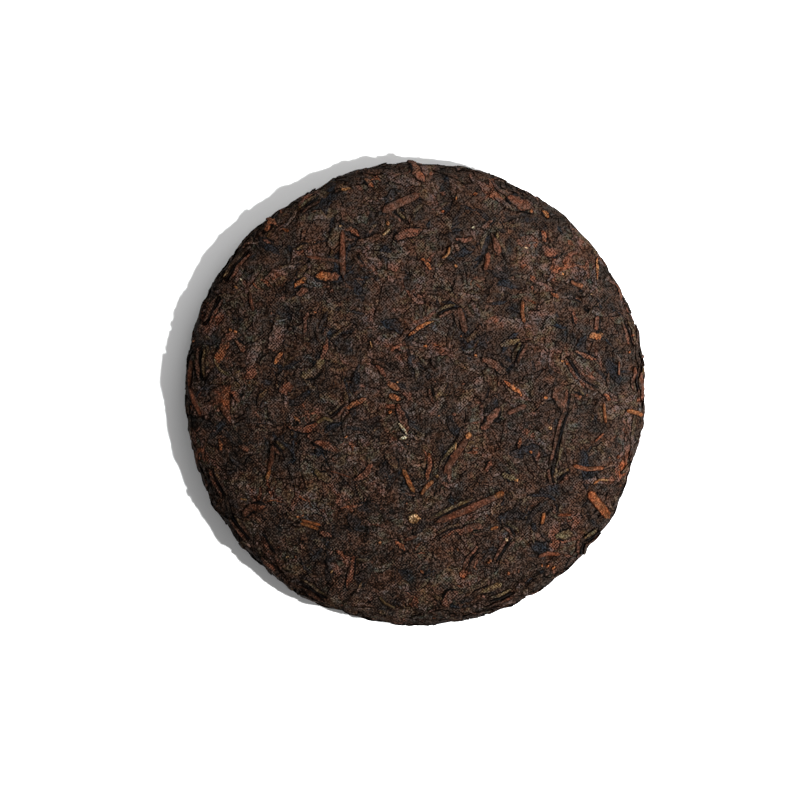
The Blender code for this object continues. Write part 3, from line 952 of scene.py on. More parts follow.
def grain_of(place, own):
    """Salt and pepper grain in stops: veins along the leaf, and single specks."""
    veins = noise_of(place.vector("MULTIPLY", own, LONG_VEINS), GRAIN)
    specks = {"Vector": place, "Scale": 1.0 / SPECK}
    specks = place.add("ShaderNodeTexVoronoi", {"feature": "F1"}, specks, "Color") - 0.5
    return (veins - 0.5) * VEIN_STOPS + specks * SPECK_STOPS


def cloth_print(place, cloth):
    """The threads of the cloth, which cross at right angles, bend a little and show only in patches."""
    bend = place.vector("MULTIPLY", noise_of(place, WEAVE_BENDS, out="Color"), (MM, MM, 0.0))
    parts = place.add("ShaderNodeSeparateXYZ", None, {0: place.vector("ADD", cloth, bend)})
    u, v = parts.other("X"), parts.other("Y")
    turn = math.sqrt(2.0) * math.pi / WEAVE
    threads = place.math("SINE", (u + v) * turn) + place.math("SINE", (u - v) * turn)
    return threads * noise_of(place, WEAVE_PATCH).between(0.38, 0.58)


def crumples(place, own):
    """Creases at the borders of bent cells drawn out along the leaf, and the lump inside each cell."""
    wander = place.vector("MULTIPLY", noise_of(place, 1.3 * CRUMPLE, out="Color"), (CRUMPLE,) * 3)
    bent = place.vector("ADD", place.vector("MULTIPLY", own, LONG_CELLS), wander)
    cells = {"Vector": bent, "Scale": 1.0 / CRUMPLE}
    away = place.add("ShaderNodeTexVoronoi", {"feature": "DISTANCE_TO_EDGE"}, cells)
    here_and_there = noise_of(place, 2.2 * CRUMPLE, 1.0).between(0.48, 0.56)
    return (1.0 - away.between(0.0, 0.06)) * here_and_there, away.between(0.0, 0.4)


print("Grain of", SPECK / MM, "mm, threads of", WEAVE / MM, "mm, crumples of", CRUMPLE / MM, "mm")

# %% Hairs, streaks and painted crevice shade
HAIR_BENDS, HAIR_PATCH = 5.0 * MM, 4.0 * MM
STREAK_LENGTH_SCALE, STREAK_APART_SCALE = 70.0, 900.0
STREAK_TURNS = 17.0
# Painted shade in the crevice along a leaf's edge: the size of its patches, and its stops.
CREVICE_SHADE_PATCH = 6.0 * MM
CREVICE_SHADE_LEAST, CREVICE_SHADE_MORE = 0.8, 4.4


def pale_hairs(place):
    """Thin pale lines, in patches: where a bent noise crosses one value."""
    line = place.math("ABSOLUTE", noise_of(place, HAIR_BENDS, 2.0, 1.5) - 0.47).between(0.0, 0.012)
    return (1.0 - line) * noise_of(place, HAIR_PATCH, 1.0).between(0.46, 0.56)


def dark_streaks(own, mottle, streaks):
    """Fine dark streaks along a leaf, in patches. streaks says how close they lie across it."""
    along = own.vector("MULTIPLY", own, (STREAK_LENGTH_SCALE, streaks, STREAK_APART_SCALE))
    wave = own.math("SINE", noise_of(along, 1.0, 2.0, 1.2) * STREAK_TURNS).between(-1.0, -0.6)
    return (1.0 - wave) * mottle.between(0.4, 0.6)


def crevice_shade(place, edge):
    """Painted shade along a leaf's edge, in stops: a little everywhere, and much more in patches."""
    depth = noise_of(place, CREVICE_SHADE_PATCH, 1.0).between(0.42, 0.52) * CREVICE_SHADE_MORE + CREVICE_SHADE_LEAST
    return (1.0 - edge.between(0.05, 0.5)) * depth


print("Crevices are", CREVICE_SHADE_LEAST, "to", CREVICE_SHADE_LEAST + CREVICE_SHADE_MORE, "stops dark")

# %% [markdown]
# ## The finish of a leaf
# One function makes the finish of every kind of leaf, because they differ only in how much of each mark
# they show. It adds up the stops of all marks and multiplies the colour by them, painted light and shade
# among them. Bright grains are greyer and dark ones browner, so red, green and blue each take their own
# share of the stops. Towards the back right the leaves are painted a little paler, as painted light where
# the lamps fall stronger. The same marks feed a Bump node, for what is too fine for the mesh.

# %% Leaf finish
DRY, HARDLY_SHINY = 0.7, 0.02
# The thread print's stops are painted shade and highlight of its relief, on top of its bump.
THREAD_SHADING_STOPS = 0.95
HAIR_STOPS = 1.6
# Painted shade in the creases, on top of their bump.
CREASE_SHADE_STOPS = 1.2
STREAK_STOPS = 1.2
# Painted shade in the chip, by how deep it is.
PIT_SHADE_STOPS = 2.0
# No sum of marks makes a leaf more than this many stops lighter.
BRIGHTEST = 1.6
# Painted light: stops paler towards the right and the back, where the lamps fall stronger.
PAINTED_LIGHT_RIGHT = 0.54 / CAKE_RADIUS
PAINTED_LIGHT_BACK = 0.6 / CAKE_RADIUS
# How far red, green and blue follow the stops.
CHANNEL_SHARES = (0.88, 0.98, 1.12)
BUMP_DEPTH = 0.25 * MM
# How high each mark stands, in shares of the bump's depth.
BUMPS = {"lump": 1.2, "crease": 0.8, "grain": 0.14, "thread": 0.12, "streak": 0.6, "mottle": 0.6}


def values_kept(start, names, out):
    """The values that the mesh keeps under these names."""
    return [start.add("ShaderNodeAttribute", {"attribute_name": name}, None, out) for name in names]


def leaf_finish(
    name, stops, spread=0.5, mottled=1.0, creased=1.0, grain=1.0, weave=1.0, worn=0.0, streaks=260.0
):
    """A leaf material. stops is the ramp that a leaf's tint is looked up in. The rest say how much of each
    mark it shows, and streaks how close its streaks lie."""
    finish, start, shader = new_finish(name, DRY, HARDLY_SHINY)
    place = start.add("ShaderNodeTexCoord", None, None, "Object")
    tint, edge, pit = values_kept(start, ("tint", "edge", "pit"), "Fac")
    own, cloth = values_kept(start, ("leaf", "cloth"), "Vector")
    mottle = noise_of(place, MOTTLE)
    colour = leaf_colour(place, mottle, tint, stops, spread, mottled)
    if worn:
        colour = worn_through(colour, place, edge, worn)

    fine, threads = grain_of(place, own), cloth_print(place, cloth)
    crease, lump = crumples(place, own)
    streak = dark_streaks(own, mottle, streaks)
    axes = start.add("ShaderNodeSeparateXYZ", None, {0: place})
    # The thread print adds painted shade and highlight.
    light = fine * grain + threads * THREAD_SHADING_STOPS * weave + pale_hairs(place) * HAIR_STOPS * creased
    # Painted light, paler towards the right and the back.
    light = light + axes.other("X") * PAINTED_LIGHT_RIGHT + axes.other("Y") * PAINTED_LIGHT_BACK
    # Painted shade in the creases and in the chip.
    light = light - crease * CREASE_SHADE_STOPS * creased - streak * STREAK_STOPS - pit * PIT_SHADE_STOPS
    # Painted shade in the crevices along a leaf's edge.
    light = light - crevice_shade(place, edge) * (0.4 + 0.6 * creased)
    light = start.math("MINIMUM", light, BRIGHTEST)
    gains = {n: start.math("POWER", 2.0, light * share) for n, share in enumerate(CHANNEL_SHARES)}
    colour = start.vector("MULTIPLY", colour, start.add("ShaderNodeCombineXYZ", None, gains))
    finish.node_tree.links.new(colour.socket, shader.inputs["Base Color"])

    height = (lump * BUMPS["lump"] - crease * BUMPS["crease"]) * creased
    height = height + fine * BUMPS["grain"] * grain + threads * BUMPS["thread"] * weave
    height = height - streak * BUMPS["streak"] + mottle * BUMPS["mottle"]
    bump = start.add("ShaderNodeBump", None, {"Strength": 1.0, "Distance": BUMP_DEPTH, "Height": height})
    finish.node_tree.links.new(bump.socket, shader.inputs["Normal"])
    return finish


# %% Finishes
core_finish = leaf_finish("core_leaf", LEAF_STOPS)
dark_leaf = leaf_finish("dark_leaf", LEAF_STOPS)
rim_leaf = leaf_finish("rim_leaf", LEAF_STOPS[1:], spread=0.6, creased=0.7, weave=0.0)
strand_leaf = leaf_finish("strand_leaf", STRAND_STOPS, spread=0.8, creased=0.5, weave=0.0)
golden_crumb = leaf_finish("golden_crumb", LAID_STOPS[3:], spread=0.9, creased=0.4, weave=0.0)
shares = {"spread": 1.0, "mottled": 0.7, "creased": 0.4, "grain": 0.7, "worn": 0.9}
marked_leaf = leaf_finish("marked_leaf", LAID_STOPS, **shares)
shares = {"spread": 1.0, "mottled": 0.4, "creased": 0.3, "grain": 0.5, "weave": 0.0, "worn": 0.3}
tea_stalk = leaf_finish("tea_stalk", LAID_STOPS, **shares, streaks=1400.0)
SHADE_STOPS = ((0.0, PITCH_SHADE), (1.0, BLUE_BLACK))
crack_shade = leaf_finish("crack_shade", SHADE_STOPS, mottled=0.2, grain=0.4, weave=0.0)
print("Finishes:", [finish.name for finish in bpy.data.materials if finish.name != "pale_table"])

# %% [markdown]
# ## Covering the cake
# Each kind of piece is one run of the same tree with its own numbers. Broad leaves come first and tell
# the eye what the cake is made of, slivers and strands fill between them, and flakes break up what is
# left. The rim is rougher, because the leaves there are folded over and pressed least. The underside is
# like the face, drawn in towards the hollow. Each run ends as one plain mesh, and the modifier is taken
# off again.

# %% Runs
FACE = {"Zone": "on_face", "Heading spread": math.pi, "Pressed height": 0.85 * MM, "Crease": 0.6 * MM}
RIM = {"Zone": "on_rim", "Heading spread": 0.6, "Pressed height": 1.6 * MM, "Crease": 0.6 * MM}
ANY_WAY = {"Heading spread": math.pi}
BASE = {"Zone": "on_base", "Heading spread": math.pi, "Pressed height": 0.5 * MM, "Crease": 0.4 * MM}
BROAD = {"Length low": 10 * MM, "Length high": 21 * MM, "Width low": 4.5 * MM, "Width high": 8.5 * MM}
SLIVER = {"Length low": 8 * MM, "Length high": 18 * MM, "Width low": 1.8 * MM, "Width high": 3.6 * MM}
STRAND = {"Length low": 5 * MM, "Length high": 13 * MM, "Width low": 0.7 * MM, "Width high": 1.3 * MM}
FLAKE = {"Length low": 2.5 * MM, "Length high": 7.0 * MM, "Width low": 1.5 * MM, "Width high": 4.0 * MM}
CRUMB = {"Length low": 0.8 * MM, "Length high": 2.4 * MM, "Width low": 0.6 * MM, "Width high": 1.2 * MM}


def lift(low, high, lean):
    """How high a kind lies and how far it leans, given in millimetres."""
    return {"Lift low": low * MM, "Lift high": high * MM, "Lean": lean * MM}


# The name of the piece, the kind of leaf, its finish, its spacing in mm, and the inputs of the tree.
RUNS = (
    ("leaves_on_face", "broad", dark_leaf, 4.6, {**FACE, **BROAD, **lift(-0.7, 0.5, 1.0)}),
    ("slivers_on_face", "sliver", dark_leaf, 4.6, {**FACE, **SLIVER, **lift(-0.6, 0.6, 0.9)}),
    ("strands_on_face", "strand", strand_leaf, 6.0, {**FACE, **STRAND, **lift(-0.3, 0.5, 0.2)}),
    ("flakes_on_face", "flake", dark_leaf, 5.4, {**FACE, **FLAKE, **lift(-0.5, 0.6, 0.5)}),
    ("crumbs_on_face", "crumb", golden_crumb, 11.0, {**FACE, **CRUMB, **lift(-0.1, 0.4, 0.1)}),
    ("leaves_on_rim", "broad", rim_leaf, 5.0, {**RIM, **BROAD, **lift(-0.6, 0.7, 1.0)}),
    ("slivers_on_rim", "sliver", rim_leaf, 3.6, {**RIM, **SLIVER, **lift(-0.4, 0.9, 0.9)}),
    ("strands_on_rim", "strand", strand_leaf, 5.5, {**RIM, **STRAND, **lift(-0.1, 0.9, 0.5)}),
    ("flakes_on_rim", "flake", rim_leaf, 2.9, {**RIM, **FLAKE, **lift(-0.1, 1.3, 0.7), **ANY_WAY}),
    ("crumbs_on_rim", "crumb", golden_crumb, 12.0, {**RIM, **CRUMB, **lift(0.2, 1.0, 0.2)}),
    ("leaves_underneath", "broad", dark_leaf, 5.8, {**BASE, **BROAD, **lift(-0.1, 0.4, 0.4)}),
    ("slivers_underneath", "sliver", dark_leaf, 5.0, {**BASE, **SLIVER, **lift(-0.1, 0.4, 0.4)}),
    ("flakes_underneath", "flake", dark_leaf, 3.6, {**BASE, **FLAKE, **lift(-0.05, 0.4, 0.3)}),
)


def set_input(modifier, label, value):
    """Sets a named input of a geometry tree by its socket's identifier."""
    items = modifier.node_group.interface.items_tree
    item = next(i for i in items if i.item_type == "SOCKET" and i.in_out == "INPUT" and i.name == label)
    modifier[item.identifier] = value


def count_triangles(mesh):
    """The number of triangles in a mesh."""
    return sum(len(polygon.vertices) - 2 for polygon in mesh.polygons)


def keep(made):
    """Hides the solid that a piece stands for, and makes the piece ride where the solid rides."""
    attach(made, BODY)
    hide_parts(NODE)
    print(made.name, count_triangles(made.data), "triangles")


FIRST_SEED = 100
# Values that only the tree needs, which go once a piece is a plain mesh.
SPENT = ("height", "along", "across", "lift", "lean_along", "lean_across", "length", "width", "id")


def run_tree(name, kind, finish, spacing, values, seed):
    """Lays one kind of leaf over the core and keeps the result as a plain mesh."""
    made = bpy.data.objects.new(name, core.copy())
    bpy.context.scene.collection.objects.link(made)
    modifier = made.modifiers.new("lay", "NODES")
    modifier.node_group = lay_leaves
    values = {**values, "Spacing": spacing * MM, "Seed": seed}
    for label, value in {"Leaves": shapes[kind], "Material": finish, **values}.items():
        set_input(modifier, label, value)
    graph = bpy.context.evaluated_depsgraph_get()
    ready = made.evaluated_get(graph)
    mesh = bpy.data.meshes.new_from_object(ready, preserve_all_data_layers=True, depsgraph=graph)
    made.modifiers.clear()
    made.data = mesh
    mesh.name = name
    for spent in SPENT:
        if spent in mesh.attributes:
            mesh.attributes.remove(mesh.attributes[spent])
    keep(made)


for number, (name, kind, finish, spacing, values) in enumerate(RUNS):
    run_tree(name, kind, finish, spacing, values, FIRST_SEED + number)

# %% [markdown]
# ## Pieces that catch the eye
# Stalks, reddish leaves, golden buds and a few grains are what one would know this very cake by, so
# these are laid one by one where the photo has them. Each one is a path over the photo's pixels with a
# width in millimetres, a tint and a bend. It is drawn on the flat map of the face and lies just above
# the pressed leaves. On the real cake they have sunk in, with a gap round them, so a slightly wider
# strip of pitch-dark leaf lies under each as painted shade in that gap.

# %% Laying one by one
LAID_LIFT = 0.3 * MM
# Towards the rim a piece lies higher, by this much, and from this far before the rim.
RIM_RISE = 0.5 * MM
RISE_BEGINS = (-12.0 * MM, -6.0 * MM)
LOOK_AHEAD = 0.5 * MM
STRIPS_APART = 0.01
FURTHEST = 0.999 * CAKE_RADIUS


def on_map(px, py):
    """The place on the flat map of the face that the photo shows at a pixel. The face is nearer than the
    widest part of the rim, so it looks a little larger, and its places lie nearer to the camera's axis."""
    axis = np.array(camera.location[:2])
    spot = np.array(plan(px, py))
    radius = min(float(np.hypot(*spot)), FURTHEST)
    height = np.interp(face.distance_at(radius), face.lengths, face.line[:, 1])
    spot = axis + (spot - axis) * (camera.location[2] - height) / CAMERA_DISTANCE
    radius = min(float(np.hypot(*spot)), FURTHEST)
    return spot * float(face.distance_at(radius)) / max(radius, NEARLY_NOTHING)


def on_path(stops, runs, at):
    """The places at some distances along a path."""
    return np.column_stack([np.interp(at, runs, stops[:, axis]) for axis in (0, 1)])


def lay_by_hand(name, kind, finish, strips, lift=LAID_LIFT, stations=9, columns=4):
    """One piece made of strips: (pixels of the path, width in mm, tint, bend) each."""
    places, faces, sharp = [], [], []
    floats, vectors = {"tint": [], "edge": [], "pit": []}, {"leaf": [], "cloth": []}
    for number, (path, wide, tint, bend) in enumerate(strips):
        stops = np.array([on_map(px, py) for px, py in path])
        runs = np.concatenate(([0.0], np.cumsum(np.hypot(*np.diff(stops, axis=0).T))))
        rows = leaf_rows(stations, columns, STYLES[kind], random.Random(f"{name} {number}"), bend)
        points, new_faces, new_sharp = closed_leaf(rows, LEAF_SINKS, len(places))
        x, y, height, edge = (np.array(column) for column in zip(*points))
        at = (x + 0.5) * runs[-1]
        way = on_path(stops, runs, at + LOOK_AHEAD) - on_path(stops, runs, at - LOOK_AHEAD)
        way = way / np.hypot(*way.T)[:, None]
        aside = np.column_stack((-way[:, 1], way[:, 0])) * (y * wide * MM)[:, None]
        spots = on_path(stops, runs, at) + aside
        rim_share = smooth(*RISE_BEGINS, np.hypot(*spots.T) - FACE_REACH)
        laid, _ = face.place(spots[:, 0], spots[:, 1], lift + height + RIM_RISE * rim_share)
        places += [tuple(point) for point in laid]
        faces += new_faces
        sharp += new_sharp
        floats["tint"] += [tint] * len(points)
        floats["edge"] += list(edge)
        floats["pit"] += [0.0] * len(points)
        own = (x * runs[-1], y * wide * MM, 0.0 * x + STRIPS_APART * number)
        vectors["leaf"] += list(np.column_stack(own))
        vectors["cloth"] += list(np.column_stack((spots, 0.0 * x)))
    mesh = attributed_mesh(name, places, faces, sharp, floats, vectors)
    mesh.materials.append(finish)
    made = bpy.data.objects.new(name, mesh)
    bpy.context.scene.collection.objects.link(made)
    keep(made)


middle = on_map(PHOTO_SIDE / 2, PHOTO_SIDE / 2)
print("The photo's middle is", [round(float(v) / MM, 1) for v in middle], "mm from the middle of the face")

# %% Stalks
# Each one's path in pixels of the photo, its width in mm, its tint and its bend.
STALKS = {
    "long": (((436, 522), (470, 508), (502, 494)), 3.2, 0.45, 0.0),
    "long, its tip": (((494, 497), (504, 492)), 2.6, 0.8, 0.0),
    "brown": (((444, 474), (456, 455), (468, 436)), 3.2, 0.3, 0.0),
    "brown, its tip": (((466, 438), (471, 433)), 2.4, 0.85, 0.0),
    "right, orange": (((588, 491), (607, 517)), 4.2, 0.72, 0.0),
    "upper left": (((342, 229), (343, 279)), 2.7, 0.42, -0.05),
    "strand across it": (((305, 256), (324, 258), (347, 262)), 1.5, 0.3, 0.0),
    "short, under the orange sliver": (((459, 307), (466, 334)), 3.0, 0.3, 0.1),
    "right, ochre": (((572, 465), (585, 469), (606, 468)), 2.0, 0.66, 0.0),
    "right, thin": (((593, 484), (600, 480), (609, 480)), 1.0, 0.85, 0.2),
    "right edge": (((626, 410), (642, 415)), 2.1, 0.78, 0.1),
    "upright, thin": (((604, 403), (606, 424)), 1.3, 0.72, 0.0),
    "right rim": (((640, 372), (641, 402)), 1.8, 0.45, 0.1),
    "twin, upper": (((301, 520), (322, 525)), 1.4, 0.7, 0.0),
    "twin, lower": (((300, 523), (320, 529)), 1.5, 0.76, 0.0),
    "fork, left": (((403, 469), (409, 482), (415, 493)), 2.2, 0.78, 0.0),
    "fork, right": (((421, 495), (426, 487), (434, 480)), 1.8, 0.7, 0.0),
    "by the chip": (((571, 281), (584, 287)), 2.2, 0.66, 0.0),
    "below the chip": (((597, 316), (595, 331)), 2.0, 0.5, 0.0),
    "strand with a golden end": (((273, 445), (271, 460), (268, 472)), 2.1, 0.32, 0.0),
    "its golden end": (((270, 469), (266, 480)), 1.6, 0.82, 0.0),
    "left rim": (((190, 386), (194, 402), (202, 417)), 1.8, 0.5, 0.2),
    "left rim, upper": (((191, 360), (189, 374), (190, 388)), 1.5, 0.35, 0.0),
    "reddish, top": (((382, 212), (398, 205), (421, 193)), 3.8, 0.34, 0.05),
    "slanting, right": (((507, 414), (527, 405)), 2.2, 0.46, 0.0),
    "thin, right": (((595, 442), (605, 433)), 1.0, 0.6, 0.0),
    "fine red line": (((330, 471), (341, 474), (352, 478)), 0.8, 0.5, 0.0),
    "red, by the right rim": (((619, 361), (619, 376)), 0.9, 0.62, 0.0),
    "upper right, brown": (((523, 300), (522, 312), (525, 324)), 1.7, 0.66, 0.1),
    "small, upright": (((489, 253), (485, 271)), 2.2, 0.42, 0.2),
    "small, slanting": (((494, 237), (500, 255)), 2.4, 0.36, 0.2),
    "ochre hook": (((450, 247), (448, 254), (442, 259)), 1.1, 0.85, 0.2),
    "ochre hook, left": (((390, 229), (383, 236)), 1.3, 0.94, 0.2),
    "pale, low": (((379, 596), (385, 603), (396, 608)), 1.3, 0.12, 0.1),
    "low right, terracotta": (((537, 556), (546, 553), (560, 553)), 1.9, 0.56, 0.0),
    "low right, ochre": (((544, 512), (541, 524)), 1.6, 0.82, 0.1),
    "low right, rosy": (((557, 515), (571, 514)), 1.3, 0.56, 0.1),
    "low right, small": (((490, 529), (498, 526)), 1.2, 0.84, 0.0),
    "beige, low left": (((240, 499), (247, 500)), 1.0, 0.85, 0.0),
    "reddish strand, upper left": (((250, 292), (251, 302), (254, 312)), 1.4, 0.42, 0.0),
    "pale end, middle left": (((316, 423), (325, 418), (334, 422)), 1.7, 0.1, 0.0),
    "pale hair": (((370, 341), (372, 348)), 0.7, 0.95, 0.0),
    "golden hair": (((456, 443), (455, 450)), 0.8, 0.92, 0.0),
}
STALK_LIFT = 0.45 * MM
lay_by_hand("marked_stalks", "stalk", tea_stalk, STALKS.values(), STALK_LIFT, stations=12, columns=3)

# %% Marked leaves
# The same columns: path, width in mm, tint, bend.
MARKED_LEAVES = {
    "reddish, by the left rim": (((232, 391), (241, 402)), 4.4, 0.28, 0.1),
    "left, orange": (((215, 362), (221, 353), (229, 341)), 5.4, 0.64, 0.1),
    "left, above it": (((221, 342), (232, 336), (243, 335)), 4.6, 0.5, 0.0),
    "left, small orange": (((236, 339), (244, 353)), 3.4, 0.6, 0.1),
    "left, fold below the orange": (((213, 356), (219, 371), (232, 376), (243, 368)), 1.8, 0.08, 0.0),
    "curved olive": (((301, 377), (313, 373), (325, 357)), 5.4, 0.12, -0.1),
    "its red tip": (((328, 337), (326, 348), (321, 362)), 2.6, 0.48, 0.1),
    "upper left, orange": (((314, 277), (340, 275)), 5.8, 0.68, 0.0),
    "upper left, small orange": (((294, 288), (306, 276)), 3.6, 0.78, 0.1),
    "upper left, reddish below": (((296, 294), (309, 289)), 4.2, 0.4, 0.0),
    "upper left, olive": (((297, 278), (306, 264)), 3.4, 0.1, 0.0),
    "upper left, reddish bit": (((262, 239), (271, 243)), 1.8, 0.5, 0.0),
    "tan": (((274, 364), (283, 351)), 2.9, 0.82, 0.1),
    "soft orange, top": (((393, 240), (406, 235), (424, 229)), 5.0, 0.42, 0.0),
    "top, orange": (((345, 228), (353, 230), (360, 236)), 3.2, 0.62, 0.1),
    "upper, orange-brown": (((455, 239), (464, 241), (473, 238)), 3.0, 0.48, 0.0),
    "upper, rosy": (((482, 228), (493, 221)), 3.0, 0.45, 0.0),
    "small orange": (((422, 258), (432, 270)), 2.3, 0.66, 0.1),
    "orange sliver": (((408, 336), (420, 327), (436, 320)), 2.4, 0.74, 0.1),
    "rosy, above the middle": (((391, 351), (402, 343)), 2.4, 0.46, 0.0),
    "bud": (((346, 409), (367, 397)), 3.3, 0.64, 0.0),
    "middle, upper": (((387, 382), (401, 391)), 3.8, 0.62, 0.1),
    "middle, lower": (((388, 396), (402, 399)), 3.8, 0.7, 0.0),
    "middle, right": (((403, 391), (412, 400)), 3.4, 0.5, 0.1),
    "middle, band below": (((397, 403), (403, 418), (408, 436)), 4.6, 0.36, 0.0),
    "rosy, middle": (((376, 365), (387, 377)), 3.0, 0.46, 0.1),
    "beige, middle": (((399, 423), (408, 435)), 2.2, 0.9, 0.1),
    "olive, with a crack": (((434, 401), (448, 382)), 4.0, 0.05, 0.0),
    "dark, below the middle": (((385, 450), (391, 459), (398, 469)), 4.8, 0.22, 0.0),
    "beige, beside the stalk": (((465, 452), (474, 441)), 3.6, 0.1, 0.0),
    "orange-brown, by the stalk": (((486, 472), (491, 460)), 3.0, 0.5, 0.0),
    "reddish, right of middle": (((482, 358), (494, 365), (508, 373)), 5.0, 0.38, 0.1),
    "orange, right": (((504, 380), (511, 386), (517, 393)), 2.8, 0.74, 0.1),
    "orange, right, lower": (((516, 388), (522, 397)), 2.2, 0.68, 0.1),
    "olive, far right of middle": (((521, 437), (518, 449)), 2.2, 0.6, 0.0),
    "brown-orange": (((481, 430), (491, 419), (501, 407)), 4.8, 0.5, 0.0),
    "brown-orange, small": (((507, 414), (516, 410)), 2.0, 0.66, 0.1),
    "rosy, below the middle": (((353, 481), (365, 474), (374, 463)), 3.6, 0.44, -0.1),
    "brown, below the middle": (((427, 480), (430, 467), (428, 452)), 3.4, 0.52, 0.0),
    "curved orange, left": (((288, 427), (305, 431), (319, 421)), 3.6, 0.52, 0.0),
    "reddish, left": (((313, 442), (327, 446), (341, 451)), 5.0, 0.42, 0.0),
    "olive, below it": (((314, 470), (323, 476), (331, 483)), 5.0, 0.06, 0.0),
    "orange drop, left": (((219, 438), (221, 451)), 2.2, 0.72, 0.1),
    "reddish, far left": (((238, 446), (250, 451)), 3.4, 0.42, 0.1),
    "brown, left": (((258, 408), (261, 397), (267, 388)), 3.4, 0.25, 0.1),
    "soft brown, left": (((278, 391), (294, 386)), 6.0, 0.46, 0.0),
    "small, left": (((294, 416), (301, 424)), 2.2, 0.66, 0.1),
    "brown arch, low left": (((242, 517), (253, 507), (268, 506)), 4.6, 0.32, 0.0),
    "olive, over the twin": (((308, 517), (324, 518)), 3.4, 0.18, 0.0),
    "low, reddish": (((354, 554), (351, 571), (347, 589)), 3.6, 0.48, 0.0),
    "low, reddish, upper": (((336, 549), (345, 556)), 2.8, 0.5, 0.1),
    "low, brown": (((320, 531), (333, 537)), 3.2, 0.48, 0.1),
    "low right, reddish": (((458, 534), (471, 526), (485, 526)), 4.2, 0.34, 0.0),
    "low, wide reddish": (((445, 607), (449, 595), (459, 590)), 5.8, 0.46, 0.0),
    "low, olive": (((473, 592), (488, 588), (502, 581)), 4.0, 0.14, 0.0),
    "low, small orange": (((395, 540), (406, 551)), 2.6, 0.6, 0.1),
    "low, rosy": (((404, 540), (418, 536)), 2.6, 0.4, 0.1),
    "grey, low right": (((555, 537), (573, 531)), 5.0, 0.0, 0.0),
    "brown leaf by the crack": (((555, 386), (560, 399), (565, 413)), 6.2, 0.24, 0.0),
    "rosy, right": (((574, 351), (585, 356), (597, 360)), 2.4, 0.5, 0.0),
    "orange chunk": (((588, 338), (603, 334)), 4.4, 0.74, 0.0),
    "right, terracotta": (((604, 394), (612, 400)), 2.6, 0.6, 0.1),
    "upper right, brown leaf": (((506, 197), (519, 203), (532, 208)), 7.0, 0.36, 0.0),
    "upper right, ochre": (((542, 211), (549, 219)), 2.6, 0.84, 0.1),
    "upper right, orange": (((541, 231), (546, 243)), 3.0, 0.56, 0.1),
    "upper right, brown-orange": (((543, 245), (549, 253), (559, 254)), 5.0, 0.44, 0.0),
    "right rim, ochre": (((597, 257), (598, 281)), 1.9, 0.8, 0.1),
    "left of the chip": (((551, 292), (559, 298)), 2.4, 0.6, 0.1),
    "under the chip": (((573, 311), (576, 325)), 2.6, 0.5, 0.1),
    "top rim, reddish": (((409, 163), (417, 172), (426, 183)), 5.0, 0.5, 0.0),
    "top rim, orange": (((364, 179), (375, 188)), 3.0, 0.62, 0.1),
    "upper left rim, orange": (((264, 231), (268, 224), (274, 218)), 3.4, 0.66, 0.1),
    "upper left rim, second": (((266, 217), (278, 226)), 2.8, 0.6, 0.0),
    "upper left rim, right": (((281, 227), (288, 230)), 1.8, 0.72, 0.0),
    "upper left rim, brown": (((297, 204), (304, 198), (313, 192)), 2.8, 0.5, 0.1),
    "upper left rim, ochre": (((341, 190), (352, 188)), 1.8, 0.92, 0.0),
    "lower left rim": (((262, 556), (268, 563), (276, 571)), 4.2, 0.4, 0.0),
    "rosy, upper left": (((304, 333), (305, 322), (308, 311)), 2.6, 0.44, 0.1),
    "beige, upper left": (((295, 249), (310, 243)), 2.8, 0.12, 0.1),
    "light olive, right": (((500, 346), (510, 343), (521, 339)), 4.0, 0.12, 0.0),
    "grey-beige, right": (((502, 473), (516, 480)), 3.8, 0.08, 0.0),
}
lay_by_hand("marked_leaves", "marked", marked_leaf, MARKED_LEAVES.values())
REDDISH_TRIANGLE = (((218, 387), (231, 423)), 11.5, 0.46, 0.0)
lay_by_hand("reddish_triangle", "wedge", marked_leaf, (REDDISH_TRIANGLE,))

# %% Painted shade round them
SHADE_MARGIN = 0.4
SHADE_DROP = 0.12 * MM
WIDE_ENOUGH = 2.0
SHADE_TINT = 0.3
laid = list(STALKS.values()) + list(MARKED_LEAVES.values())
# Strips of pitch-dark leaf, a little wider than each piece, are painted shade in the gap round it.
shade_strips = [(path, wide + SHADE_MARGIN, SHADE_TINT, bend) for path, wide, _, bend in laid if wide > WIDE_ENOUGH]
lay_by_hand("gaps_round_them", "marked", crack_shade, shade_strips, LAID_LIFT - SHADE_DROP)

# %% [markdown]
# ## Grains and crumbs
# Crumbs of golden bud lie scattered over the face, with two pale grains among them. They are too small
# for a shape of their own to show, so only their places and tints are laid, and each one's size and
# direction are drawn with a fixed seed.

